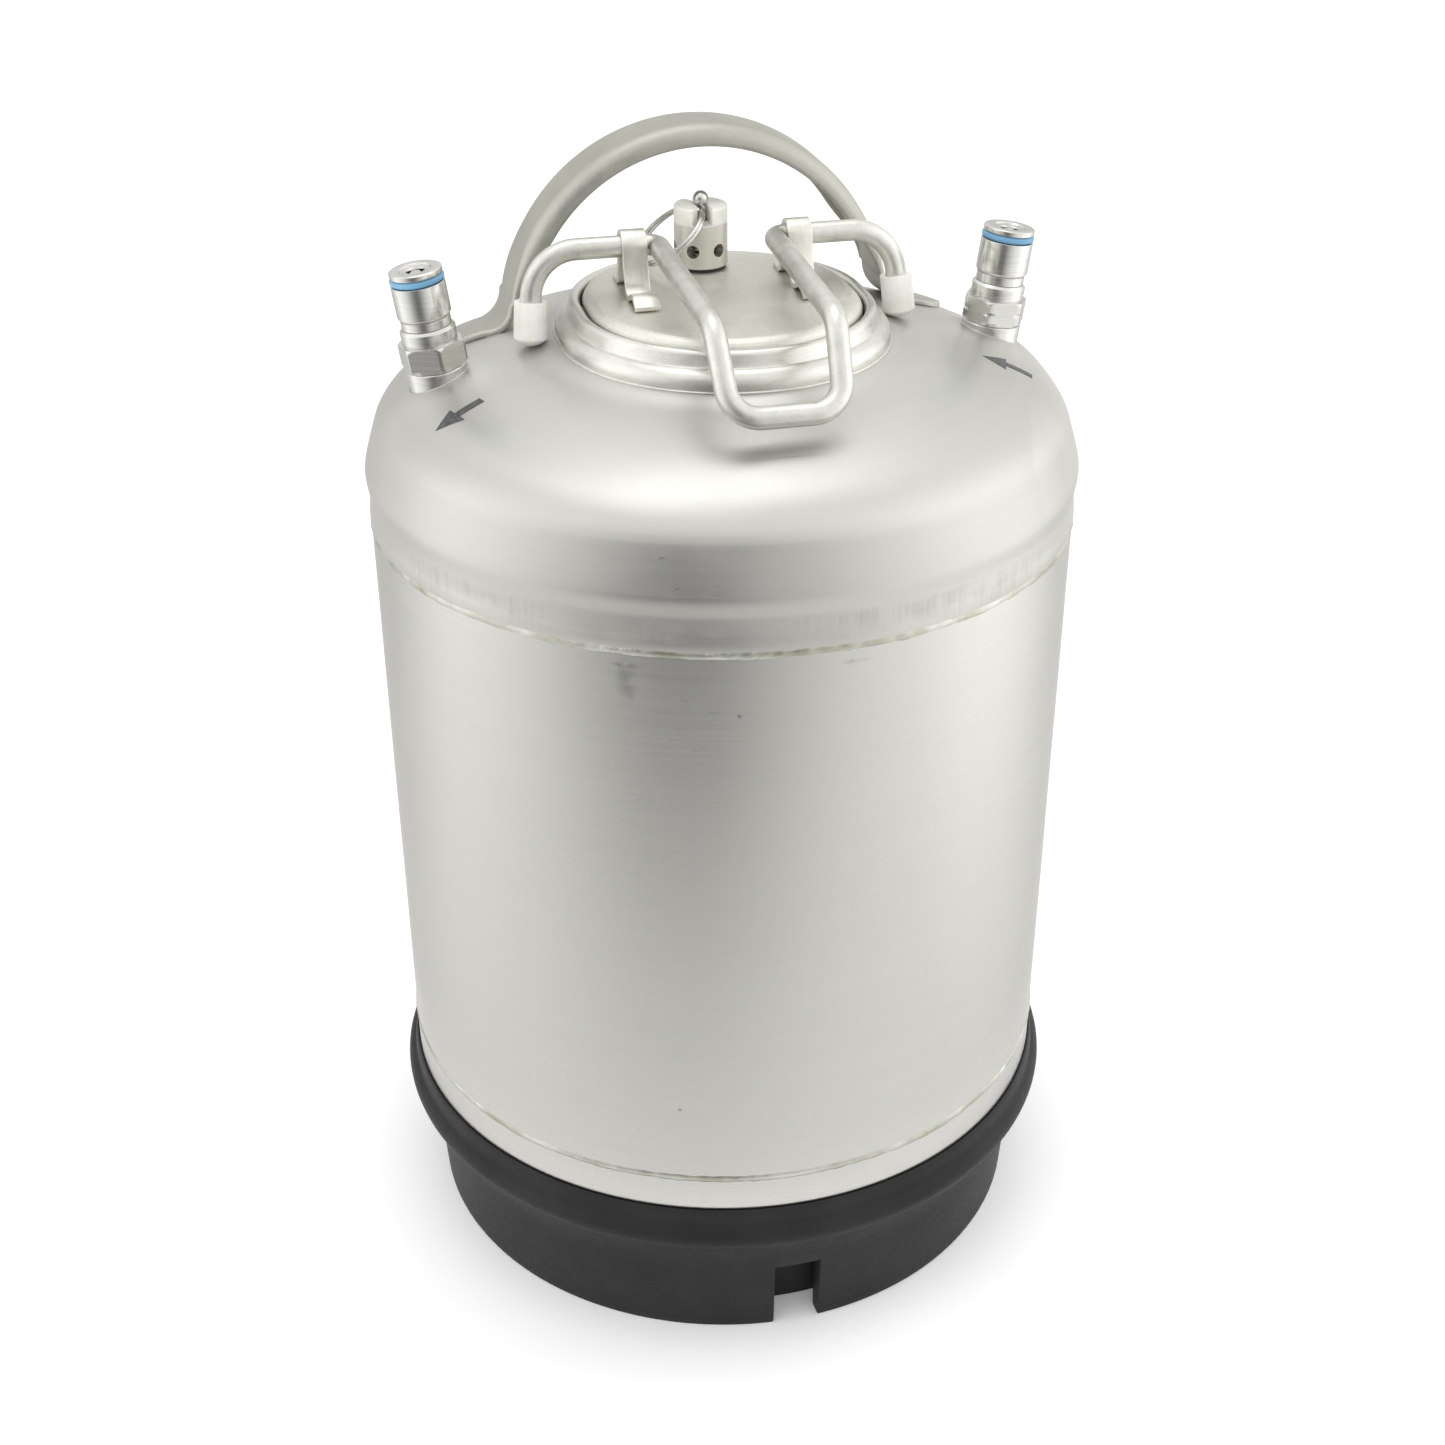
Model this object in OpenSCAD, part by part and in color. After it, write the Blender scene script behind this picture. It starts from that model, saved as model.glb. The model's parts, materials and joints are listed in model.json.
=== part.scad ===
// Small stainless beer keg with two ball-lock posts, an oval hatch and a rubber boot.
// Origin: centre of the boot's underside. +Z up, +X through the gas post, -Y is the front.

/* [Shell] */
// Outer radius of the cylinder
body_r = 108; // [106:0.5:110]
// Sheet thickness of the shell
wall = 1.2; // [1:0.1:1.6]
// Height of the lower girth weld
low_weld_z = 69; // [66:1:72]
// Height of the upper girth weld
high_weld_z = 251.5; // [245:0.5:258]
// Height at which the curved top starts
shoulder_z = 274; // [272:0.5:276]
// Height that the curved top would reach at the centre
crown_z = 306; // [304:0.5:307]
// Lowest point of the bottom end
bottom_z = 16; // [14:1:20]

/* [Boot] */
// Radius of the boot where it stands
boot_foot_r = 102; // [100:0.5:104]
// Largest radius of the boot's rolled rim
boot_rim_r = 112.3; // [111:0.1:113]
// Height of the middle of the rolled rim
boot_rim_z = 46; // [44:0.5:48]
// Height of the boot's top lip
boot_top_z = 56.7; // [55:0.1:58]
// Width of a drain notch
notch_w = 15; // [10:1:20]
// Height of a drain notch
notch_h = 26; // [20:1:28]
// Number of drain notches
notches = 3; // [3:1:4]

/* [Hatch] */
// Half width of the hatch mouth
mouth_r = 41.2; // [40:0.1:42]
// Straight stretch between the mouth's two round ends
mouth_run = 9.6; // [8:0.1:11]
// Height of the mouth's rolled lip
lip_z = 315; // [313:0.5:316]
// Gap between the lid and the mouth
lid_gap = 0.8; // [0.6:0.1:1]
// Height of the lid's flat top
lid_z = 316.6; // [316:0.1:317.5]

/* [Bail] */
// Radius of the bail wire
bail_r = 3.175; // [3:0.025:3.3]
// Clearance of the bail wire in its brackets
bail_clear = 0.06; // [0.04:0.01:0.1]
// Front to back place of the bail's pivot line
bail_y = 8; // [6:0.5:10]
// Height of the bail's pivot line
bail_z = 330; // [329:0.5:331]
// Middle of each bracket from the centre line
bracket_x = 25; // [24.5:0.5:26]
// Width of a bracket's strap
bracket_w = 7.5; // [6.5:0.5:8]
// Forward lean of the bail's legs from plumb, in degrees
leg_lean = 8; // [6:1:10]
// Outward splay of the bail's legs, in degrees
leg_splay = 5; // [3:1:7]
// Length of a leg from the pivot line to the foot's tip
leg_len = 27; // [26.5:0.1:27.2]

/* [Handle] */
// Radius of the handle's crown
handle_r = 60; // [58:0.5:61]
// Height of the centre of the handle's arch
handle_z = 299.3; // [298:0.1:300]
// Front to back place of the handle's middle
handle_y = 36.5; // [35:0.5:38]
// Width of the handle's strap
handle_w = 23; // [20:1:25]
// Depth of the handle's turned-in edges
handle_flange = 6.2; // [5:0.1:7]

/* [Posts] */
// Distance of each post's foot from the centre line
post_x = 85.1; // [84:0.1:86]
// Height of each post's foot
post_z = 297.6; // [297:0.1:298]
// Outward tilt of each post, in degrees
post_tilt = 7.6; // [6:0.1:9]
// Radius of a post's barrel
barrel_r = 7.9; // [7.8:0.01:8]
// Width of a post's hexagon across its flats
hex_af = 17.5; // [17:0.1:18]
// Height of a post above its foot
post_h = 32.9; // [32:0.1:34]

/* [Relief valve] */
// Front to back place of the relief valve
prv_y = 27; // [26:0.5:28]
// Radius of the relief valve
prv_r = 8.2; // [8:0.1:8.4]
// Height of the pull ring's eye
eye_z = 334.5; // [334:0.1:335]
// Radius of the pull ring to the middle of its wire
ring_r = 12; // [11.5:0.5:12.5]
// Slope of the pull ring below level, in degrees
ring_slope = 38; // [36:1:40]
// Lean of the pull ring towards the front, in degrees
ring_lean = 6; // [5:0.5:6]

/* [Hidden] */
$fn = 96;

steel = "silver";
bright_steel = "gainsboro";
black_rubber = [0.12, 0.12, 0.13];
blue_rubber = [0.3, 0.55, 0.75];
nylon = "ivory";

groove_z = high_weld_z + 12;
bulge = 0.6;
bead_w = 2.4;
bead_proud = 0.8;
dome_r = body_r - 2;
dome_power = 2.4;
end_straight_z = 52;
neck_r = mouth_r + 7.8;
lid_r = mouth_r - lid_gap;
lid_t = 2;
oring_r = 1.75;

plug_r = 8.9;
plug_top = 9.6;
thread_r = 7.2;
dip_r = 3.97;
dip_bore_r = 3.1;
chamber_r = 4.6;
seat_r = 2.6;
cap_z = 330.4;
cap_top_z = 335.8;
// Floor of the slot across the relief valve's cap
slot_z = 330.9;
ring_wire_r = 0.7;

// ---------------------------------------------------------------- outlines

// Points on an arc in the plane, from angle a0 to a1
function arc(centre, r, a0, a1, steps = 10) =
    [for (i = [0:steps]) let (a = a0 + (a1 - a0) * i / steps) centre + r * [cos(a), sin(a)]];

// A list back to front
function reversed(list) = [for (i = [len(list) - 1:-1:0]) list[i]];

// Height of the curved top at radius r, for an outline moved in by t
function crown(r, t = 0) =
    shoulder_z + (crown_z - t - shoulder_z)
        * pow(1 - pow(r / (dome_r - t), dome_power), 1 / dome_power);

// Points along the curved top, from the shoulder in to radius r_in
function crown_points(r_in, t = 0, steps = 18) =
    [for (i = [0:steps])
        let (r = r_in + (dome_r - t - r_in) * cos(90 * i / steps)) [r, crown(min(r, dome_r - t), t)]];

// The band between the upper weld and the shoulder, with its rolled groove
function band_points(t = 0) = [
    [body_r - t, high_weld_z], [body_r - t, high_weld_z + 1.5], [body_r + bulge - t, high_weld_z + 4],
    [body_r + bulge - t, groove_z - 3], [body_r - t, groove_z - 0.5], [body_r - t, groove_z + 0.5],
    [body_r + bulge - t, groove_z + 3], [body_r + bulge - t, groove_z + 4.5],
    [body_r - 0.6 - t, shoulder_z - 3]];

// The bottom end: a short straight, then an ellipse
function end_points(t = 0, steps = 18) =
    [for (i = [0:steps]) [(body_r - t) * cos(90 * i / steps),
        end_straight_z - (end_straight_z - bottom_z - t) * sin(90 * i / steps)]];

// The outside of the boot, from its foot to its top lip
function boot_points() = concat(
    [[boot_foot_r, 0], [boot_foot_r + 2, 30], [boot_rim_r - 5.6, 38]],
    arc([boot_rim_r - 5, boot_rim_z], 5, -80, 60),
    [[body_r + 1.4, boot_top_z - 1], [body_r + 0.6, boot_top_z]]);

// ---------------------------------------------------------------- helpers

// A section swept round the hatch's oval
module racetrack(run = mouth_run) {
    for (side = [0, 180]) rotate([0, 0, side]) {
        translate([0, run / 2, 0]) rotate_extrude(angle = 180) children();
        translate([0, run / 2, 0]) rotate([90, 0, 0]) linear_extrude(run) children();
    }
}

// The hatch's oval as a solid, from z0 to z1
module oval(r, z0, z1) {
    racetrack() translate([0, z0]) square([r, z1 - z0]);
}

// Everything under the curved top's outer face
module under_crown() {
    rotate_extrude() polygon(concat([[0, shoulder_z], [dome_r, shoulder_z]],
        crown_points(mouth_r - 15), [[0, crown(mouth_r - 15)]]));
}

// A sheet of thickness t lying on the curved top, cut to a flat outline
module on_crown(t) {
    intersection() {
        difference() {
            translate([0, 0, t]) under_crown();
            under_crown();
        }
        translate([0, 0, shoulder_z]) linear_extrude(crown_z + 10 - shoulder_z) children();
    }
}

// A round rod between two points
module rod(from, to, r) {
    v = to - from;
    translate(from) rotate([0, acos(v.z / norm(v)), atan2(v.y, v.x)])
        cylinder(r = r, h = norm(v));
}

function unit(v) = v / norm(v);

// Angle through which a path turns at its middle point
function turn(a, b, c) = acos(unit(b - a) * unit(c - b));

// Where a path's arc leaves the line from b towards a
function tangent(a, b, c, bend) = b + unit(a - b) * bend * tan(turn(a, b, c) / 2);

// A round wire through points, with a bend radius at each inner point.
// Each straight runs a little way into the bends, which are a hair thinner.
module wire(points, bends, r) {
    last = len(points) - 1;
    lap = 0.3;
    for (i = [0:last - 1]) {
        along = unit(points[i + 1] - points[i]);
        start = i == 0 ? points[0]
            : tangent(points[i + 1], points[i], points[i - 1], bends[i - 1]) - lap * along;
        stop = i == last - 1 ? points[last]
            : tangent(points[i], points[i + 1], points[i + 2], bends[i]) + lap * along;
        rod(start, stop, r);
    }
    for (i = [1:last - 1]) {
        a = points[i - 1];
        b = points[i];
        c = points[i + 1];
        bend = bends[i - 1];
        half = turn(a, b, c) / 2;
        centre = b + unit(unit(a - b) + unit(c - b)) * bend / cos(half);
        e1 = unit(tangent(a, b, c, bend) - centre);
        e2 = unit(b - a);
        e3 = cross(e1, e2);
        multmatrix([[e1.x, e2.x, e3.x, centre.x], [e1.y, e2.y, e3.y, centre.y],
            [e1.z, e2.z, e3.z, centre.z], [0, 0, 0, 1]])
            rotate_extrude(angle = 2 * half) translate([bend, 0]) circle(r = r - 0.02);
    }
}

// A coil spring standing on z0
module coil(r, wire_r, z0, z1, turns) {
    steps = 14;
    sides = 6;
    rings = turns * steps;
    pitch = (z1 - z0 - 2 * wire_r) / rings;
    ring_points = [for (i = [0:rings]) for (j = [0:sides - 1])
        let (a = 360 * i / steps, b = 360 * j / sides, q = r + wire_r * cos(b))
        [q * cos(a), q * sin(a), z0 + wire_r + i * pitch + wire_r * sin(b)]];
    walls = [for (i = [0:rings - 1]) for (j = [0:sides - 1])
        let (k = (j + 1) % sides) [i * sides + j, (i + 1) * sides + j, (i + 1) * sides + k, i * sides + k]];
    first_end = [for (j = [0:sides - 1]) j];
    last_end = [for (j = [0:sides - 1]) rings * sides + sides - 1 - j];
    polyhedron(ring_points, concat(walls, [first_end, last_end]));
}

module torus(major, minor) {
    rotate_extrude() translate([major, 0]) circle(r = minor);
}

// Places a piece on a post's axis: side is -1 for liquid and 1 for gas
module at_post(side) {
    translate([side * post_x, 0, post_z]) rotate([0, side * post_tilt, 0]) children();
}

// A point on a post's axis, h above its foot
function on_post(side, h) =
    [side * (post_x + h * sin(post_tilt)), 0, post_z + h * cos(post_tilt)];

// ---------------------------------------------------------------- shell

module shell_cylinder() {
    color(steel) rotate_extrude()
        translate([body_r - wall, low_weld_z]) square([wall, high_weld_z - low_weld_z]);
}

module top_dome() {
    color(steel) difference() {
        rotate_extrude() {
            outer = concat(band_points(), crown_points(mouth_r - 15));
            inner = concat(band_points(wall), crown_points(mouth_r - 15, wall));
            polygon(concat(outer, reversed(inner)));
        }
        oval(neck_r, shoulder_z, crown_z + 5);
        for (side = [-1, 1]) at_post(side) translate([0, 0, -20]) cylinder(r = plug_r, h = 40);
    }
}

module bottom_dome() {
    outer = concat([[body_r, low_weld_z]], end_points());
    inner = concat([[body_r - wall, low_weld_z]], end_points(wall));
    color(steel) rotate_extrude()
        polygon(concat(outer, reversed(inner)));
}

module weld_bead(z) {
    color(bright_steel) rotate_extrude() difference() {
        translate([body_r + bead_proud - bead_w / 2, z]) circle(r = bead_w / 2, $fn = 24);
        translate([body_r - bead_w - 1, z - bead_w]) square([bead_w + 1, 2 * bead_w]);
    }
}

module top_weld_bead() {
    weld_bead(high_weld_z);
}

module bottom_weld_bead() {
    weld_bead(low_weld_z);
}

module neck_ring() {
    outer = concat([[neck_r, 302.4], [neck_r, lip_z - 9.8], [neck_r - 0.7, lip_z - 8.2]],
        arc([neck_r - 3.1, lip_z - 6.7], 2.4, -10, 80, 6),
        [[neck_r - 4, lip_z - 3.3]],
        arc([mouth_r + 1.7, lip_z - 1.7], 1.7, 20, 170, 8));
    inner = [[mouth_r, lip_z - 5.2], [mouth_r + 3.8, lip_z - 5.2], [mouth_r + 5.4, lip_z - 7.6],
        [mouth_r + 5.8, 302.4]];
    color(steel) racetrack() polygon(concat(outer, inner));
}

module rubber_boot() {
    seat = [for (i = [0:8]) let (a = 3 + 23 * i / 8) [(body_r + 0.1) * cos(a),
        end_straight_z - 0.1 - (end_straight_z - bottom_z) * sin(a)]];
    inside = concat([[body_r + 0.1, boot_top_z]], seat, [[boot_foot_r - 5.5, 34], [boot_foot_r - 5.5, 0]]);
    outside = boot_points();
    color(black_rubber) difference() {
        rotate_extrude() polygon(concat(outside, inside));
        for (i = [0:notches - 1]) rotate([0, 0, -90 + i * 360 / notches])
            translate([80, -notch_w / 2, -1]) cube([40, notch_w, notch_h + 1]);
    }
}

// ---------------------------------------------------------------- handle

module handle_section() {
    edge = handle_w / 2;
    root = handle_r - 5;
    tip = handle_r - handle_flange;
    polygon(concat([[tip, -edge]], arc([root, 5 - edge], 5, -90, 0, 6),
        arc([root, edge - 5], 5, 0, 90, 6), [[tip, edge], [tip, edge - 2]],
        arc([root, edge - 5], 3, 90, 0, 6), arc([root, 5 - edge], 3, 0, -90, 6),
        [[tip, 2 - edge]]));
}

module handle_foot(side) {
    on_crown(2) union() {
        translate([side < 0 ? -75 : 58, handle_y - handle_w / 2]) square([17, handle_w]);
        for (y = [-1, 1]) translate([side * 75, handle_y + y * (handle_w / 2 - 5)]) circle(r = 5);
        translate([side < 0 ? -80 : 75, handle_y + 5 - handle_w / 2]) square([5, handle_w - 10]);
    }
}

module strap_handle() {
    color(steel) union() {
        difference() {
            translate([0, handle_y, handle_z]) rotate([90, 0, 0])
                rotate_extrude(angle = 180) handle_section();
            under_crown();
        }
        for (side = [-1, 1]) handle_foot(side);
    }
}

// ---------------------------------------------------------------- posts

module post_plug(side) {
    color(bright_steel) at_post(side) difference() {
        union() {
            translate([0, 0, -6]) cylinder(r = plug_r, h = 9.8);
            translate([0, 0, 3.8]) cylinder(r = thread_r, h = plug_top - 3.8);
        }
        translate([0, 0, -7]) cylinder(r = dip_r + 0.1, h = 20);
        translate([0, 0, plug_top - 1.4]) cylinder(r = 6, h = 2);
    }
}

module liquid_post_plug() {
    post_plug(-1);
}

module gas_post_plug() {
    post_plug(1);
}

// The outside of a ball-lock post above its hexagon, with its locking groove
module post_barrel() {
    rotate_extrude() polygon([[0, 11.4], [7.65, 11.4], [7.65, 15], [7, 15.8], [7, 18.6],
        [barrel_r, 19.9], [barrel_r, 29], [5.9, 29], [5.9, 31.2], [barrel_r - 0.2, 31.2],
        [barrel_r - 0.2, post_h - 0.4], [barrel_r - 0.6, post_h], [0, post_h]]);
}

module post_shell(side) {
    color(bright_steel) at_post(side) difference() {
        union() {
            intersection() {
                translate([0, 0, 3.9]) cylinder(r = hex_af / sqrt(3), h = 7.5, $fn = 6);
                translate([0, 0, 3.9]) cylinder(r1 = hex_af * 0.54, r2 = hex_af * 0.6, h = 1.5);
            }
            intersection() {
                translate([0, 0, 5.4]) cylinder(r = hex_af / sqrt(3), h = 6, $fn = 6);
                translate([0, 0, 5.4]) cylinder(r = hex_af * 0.57, h = 6);
            }
            post_barrel();
        }
        translate([0, 0, 3]) cylinder(r = thread_r + 0.1, h = 8);
        translate([0, 0, 10]) cylinder(r = chamber_r, h = 18.5);
        translate([0, 0, 28.5]) cylinder(r1 = chamber_r, r2 = seat_r, h = 1.8);
        translate([0, 0, 30]) cylinder(r = seat_r, h = 5);
        translate([0, 0, post_h - 0.6]) cylinder(r = 4.4, h = 2);
        if (side > 0) for (i = [0:5]) rotate([0, 0, i * 60])
            translate([hex_af * 0.55, 0, 7.6]) rotate([90, 0, 0]) cylinder(r = 0.7, h = 6, center = true);
    }
}

module liquid_post() {
    post_shell(-1);
}

module gas_post() {
    post_shell(1);
}

module post_oring(side) {
    color(blue_rubber) at_post(side) translate([0, 0, 30.1]) torus(6.95, 1.03);
}

module liquid_post_oring() {
    post_oring(-1);
}

module gas_post_oring() {
    post_oring(1);
}

module dip_oring(side) {
    color(black_rubber) at_post(side) translate([0, 0, plug_top - 0.5]) torus(5, 0.85);
}

module liquid_dip_oring() {
    dip_oring(-1);
}

module gas_dip_oring() {
    dip_oring(1);
}

module dip_head(side) {
    at_post(side) translate([0, 0, plug_top + 0.4]) cylinder(r = 6, h = 0.9);
}

module liquid_dip_tube() {
    knee = on_post(-1, -30);
    top = on_post(-1, plug_top + 1);
    over = on_post(-1, plug_top + 3);
    foot = [knee.x, 0, 62];
    tip = [-10, 0, 21.5];
    past = tip + unit(tip - foot);
    color(bright_steel) difference() {
        union() {
            wire([top, knee, foot, tip], [60, 25], dip_r);
            dip_head(-1);
        }
        wire([over, knee, foot, past], [60, 25], dip_bore_r);
    }
}

module gas_dip_tube() {
    color(bright_steel) difference() {
        union() {
            rod(on_post(1, -18), on_post(1, plug_top + 1), dip_r);
            dip_head(1);
        }
        rod(on_post(1, -20), on_post(1, plug_top + 3), dip_bore_r);
    }
}

module poppet(side) {
    color(bright_steel) at_post(side) {
        translate([0, 0, 21.5]) cylinder(r = 4.25, h = 2.5);
        translate([0, 0, 24]) cylinder(r = 3, h = 4.2);
        translate([0, 0, 28.2]) cylinder(r = 1.8, h = 3.3);
        translate([0, 0, 31.5]) cylinder(r1 = 1.8, r2 = 1.4, h = 0.4);
    }
}

module liquid_poppet() {
    poppet(-1);
}

module gas_poppet() {
    poppet(1);
}

module poppet_seal(side) {
    color(black_rubber) at_post(side) translate([0, 0, 29]) torus(2.62, 0.8);
}

module liquid_poppet_seal() {
    poppet_seal(-1);
}

module gas_poppet_seal() {
    poppet_seal(1);
}

module post_spring(side) {
    color(steel) at_post(side) coil(3.3, 0.4, 11.2, 21.4, 5);
}

module liquid_spring() {
    post_spring(-1);
}

module gas_spring() {
    post_spring(1);
}

// ---------------------------------------------------------------- labels

// An arrow that points along +X
module arrow() {
    translate([-7, -1.5]) square([9, 3]);
    polygon([[1, -4.5], [8, 0], [1, 4.5]]);
}

module label(side, heading) {
    color("black") on_crown(0.2) translate([side * 82, -26]) rotate(heading) arrow();
}

module out_label() {
    label(-1, 200);
}

module in_label() {
    label(1, 160);
}

// ---------------------------------------------------------------- lid

module lid_plate() {
    outer = concat([[0, lid_z]], arc([lid_r - 3.4, lid_z - 3.4], 3.4, 90, 0, 6),
        [[lid_r, 307.4], [lid_r + 0.8, 306], [lid_r + 5, 306], [lid_r + 5, 303], [lid_r + 4, 303],
        [lid_r + 4, 304], [lid_r - lid_t, 304]]);
    inner = concat(arc([lid_r - 3.4, lid_z - 3.4], 1.4, 0, 90, 6), [[0, lid_z - lid_t]]);
    color(steel) difference() {
        racetrack() polygon(concat(outer, inner));
        translate([0, prv_y, 300]) cylinder(r = 6.5, h = 20);
    }
}

module lid_oring() {
    color(black_rubber) racetrack() translate([lid_r + 2.6, 307.8]) circle(r = oring_r, $fn = 32);
}

// A strip of thickness t that follows the points of its middle line
module ribbon(points, t) {
    last = len(points) - 1;
    function heading(i) = unit(points[min(i + 1, last)] - points[max(i - 1, 0)]);
    function side(i) = [-heading(i).y, heading(i).x] * t / 2;
    polygon(concat([for (i = [0:last]) points[i] + side(i)],
        [for (i = [last:-1:0]) points[i] - side(i)]));
}

// A bracket: a strap over the bail wire, whose two legs curl into feet on the lid
module bracket(x) {
    strap_t = 1.6;
    bore = bail_r + bail_clear;
    mid = bore + strap_t / 2;
    floor_z = lid_z + strap_t / 2;
    front = concat([[bail_y - mid - 0.6, bail_z - 5], [bail_y - mid - 2, floor_z + 4]],
        arc([bail_y - mid - 6.2, floor_z + 3.6], 3.6, -10, -90, 6),
        arc([bail_y - mid - 12.5, floor_z - 3], 5.2, 60, 130, 6),
        [[bail_y - mid - 18, floor_z + 0.1]]);
    back = concat([[bail_y + mid + 0.4, bail_z - 5], [bail_y + mid + 1.2, floor_z + 3]],
        arc([bail_y + mid + 4, floor_z + 2.4], 2.4, 190, 270, 6), [[bail_y + mid + 9, floor_z]]);
    over = arc([bail_y, bail_z], mid, 180, 0, 16);
    color(steel) translate([x - bracket_w / 2, 0, 0]) rotate([90, 0, 90])
        linear_extrude(bracket_w) difference() {
            ribbon(concat(reversed(front), over, back), strap_t);
            translate([bail_y, bail_z]) circle(r = bore);
        }
}

module left_bracket() {
    bracket(-bracket_x);
}

module right_bracket() {
    bracket(bracket_x);
}

// ---------------------------------------------------------------- relief valve

module prv_bung() {
    color(steel) translate([0, prv_y, 308]) difference() {
        cylinder(r = 9.5, h = lid_z - lid_t - 308);
        translate([0, 0, -1]) cylinder(r = 6.5, h = 20);
    }
}

module prv_body() {
    color(bright_steel) translate([0, prv_y, 0]) difference() {
        rotate([0, 0, 30]) rotate_extrude() polygon([[2.8, 305], [6.1, 305], [6.45, 306],
            [6.45, lid_z + 0.9], [prv_r - 0.3, lid_z + 0.9], [prv_r, lid_z + 1.2], [prv_r, cap_z],
            [5.6, cap_z], [5.6, 311], [2.8, 311]]);
        for (i = [0:5]) rotate([0, 0, i * 60]) translate([4, 0, 323]) rotate([0, 90, 0])
            cylinder(r = 2, h = 8);
    }
}

module prv_gasket() {
    color(black_rubber) translate([0, prv_y, lid_z]) difference() {
        cylinder(r = prv_r - 0.5, h = 0.9);
        translate([0, 0, -1]) cylinder(r = 6.5, h = 4);
    }
}

module prv_cap() {
    color(nylon) translate([0, prv_y, 0]) difference() {
        union() {
            translate([0, 0, cap_z]) cylinder(r = prv_r, h = cap_top_z - cap_z - 0.5);
            translate([0, 0, cap_top_z - 0.5]) cylinder(r1 = prv_r, r2 = prv_r - 0.5, h = 0.5);
            translate([0, 0, cap_z - 3]) cylinder(r = 5.5, h = 3);
        }
        translate([0, 0, cap_z - 5]) cylinder(r = 2.1, h = 20);
        translate([-1.9, -10, slot_z]) cube([3.8, 20, 12]);
        for (y = [-1, 1]) translate([0, 0, slot_z]) linear_extrude(12)
            polygon([[-1.8, y * 4.2], [-5.6, y * 9], [-1.8, y * 9]]);
    }
}

module prv_spring() {
    color(steel) translate([0, prv_y, 0]) coil(3.6, 0.45, 315.7, cap_z - 3.2, 6);
}

module prv_stem() {
    color(bright_steel) translate([0, prv_y, 0]) difference() {
        union() {
            translate([0, 0, 311.7]) cylinder(r = 1.6, h = 25);
            translate([0, 0, 314]) cylinder(r = 5, h = 1.5);
            translate([0, 0, eye_z + 2.8]) sphere(r = 2.45);
        }
        translate([0, 0, eye_z]) rotate([90, 0, 0]) cylinder(r = 1.15, h = 12, center = true);
    }
}

module prv_seal() {
    color(black_rubber) translate([0, prv_y, 311.3]) difference() {
        cylinder(r = 5, h = 2.7);
        translate([0, 0, 0.4]) cylinder(r = 1.6, h = 5);
    }
}

module pull_ring() {
    color(bright_steel) translate([0, prv_y, eye_z]) rotate([0, -ring_slope, 0])
        rotate([ring_lean, 0, 0]) translate([-ring_r, 0, 0]) torus(ring_r, ring_wire_r);
}

// ---------------------------------------------------------------- bail

// A point in the bail's leg plane: x across, d down the leg from the pivot line
function on_leg(x, d) = [x, bail_y - d * sin(leg_lean), bail_z - d * cos(leg_lean)];

foot_x = 57.1;
elbow_x = foot_x - leg_len * tan(leg_splay);
arm_x = 17.6;
leg_dir = unit(on_leg(foot_x, leg_len) - on_leg(elbow_x, 0));
// Radius of the rounded end of each foot
foot_ball_r = 6.5;

module bail_wire() {
    leg_end = on_leg(foot_x, leg_len) - 1.8 * leg_dir;
    half_path = [leg_end, on_leg(elbow_x, 0), [arm_x, bail_y, bail_z], [arm_x - 0.6, -61.5, 327.3],
        [arm_x - 2, -76.5, 306]];
    other_half = [for (p = reversed(half_path)) [-p.x, p.y, p.z]];
    color(steel) wire(concat(half_path, other_half), [14, 4, 10, 9, 9, 10, 4, 14], bail_r);
}

module bail_foot(side) {
    tip = on_leg(foot_x, leg_len);
    color(nylon) mirror([side < 0 ? 1 : 0, 0, 0]) difference() {
        intersection() {
            rod(tip - 13 * leg_dir, tip + leg_dir, 4.9);
            translate(tip - foot_ball_r * leg_dir) union() {
                sphere(r = foot_ball_r);
                rod([0, 0, 0], -13 * leg_dir, foot_ball_r);
            }
        }
        rod(tip - 15 * leg_dir, tip - 1.75 * leg_dir, bail_r + 0.03);
    }
}

module left_bail_foot() {
    bail_foot(-1);
}

module right_bail_foot() {
    bail_foot(1);
}

shell_cylinder();
top_dome();
bottom_dome();
top_weld_bead();
bottom_weld_bead();
neck_ring();
rubber_boot();
strap_handle();
liquid_post_plug();
gas_post_plug();
liquid_post();
gas_post();
liquid_post_oring();
gas_post_oring();
liquid_dip_tube();
gas_dip_tube();
liquid_dip_oring();
gas_dip_oring();
liquid_spring();
gas_spring();
liquid_poppet();
gas_poppet();
liquid_poppet_seal();
gas_poppet_seal();
out_label();
in_label();
lid_plate();
lid_oring();
left_bracket();
right_bracket();
prv_bung();
prv_body();
prv_gasket();
prv_cap();
prv_spring();
prv_stem();
prv_seal();
pull_ring();
bail_wire();
left_bail_foot();
right_bail_foot();
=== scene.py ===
import json
import math

import bmesh
import bpy
from mathutils import Matrix, Vector, noise


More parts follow.
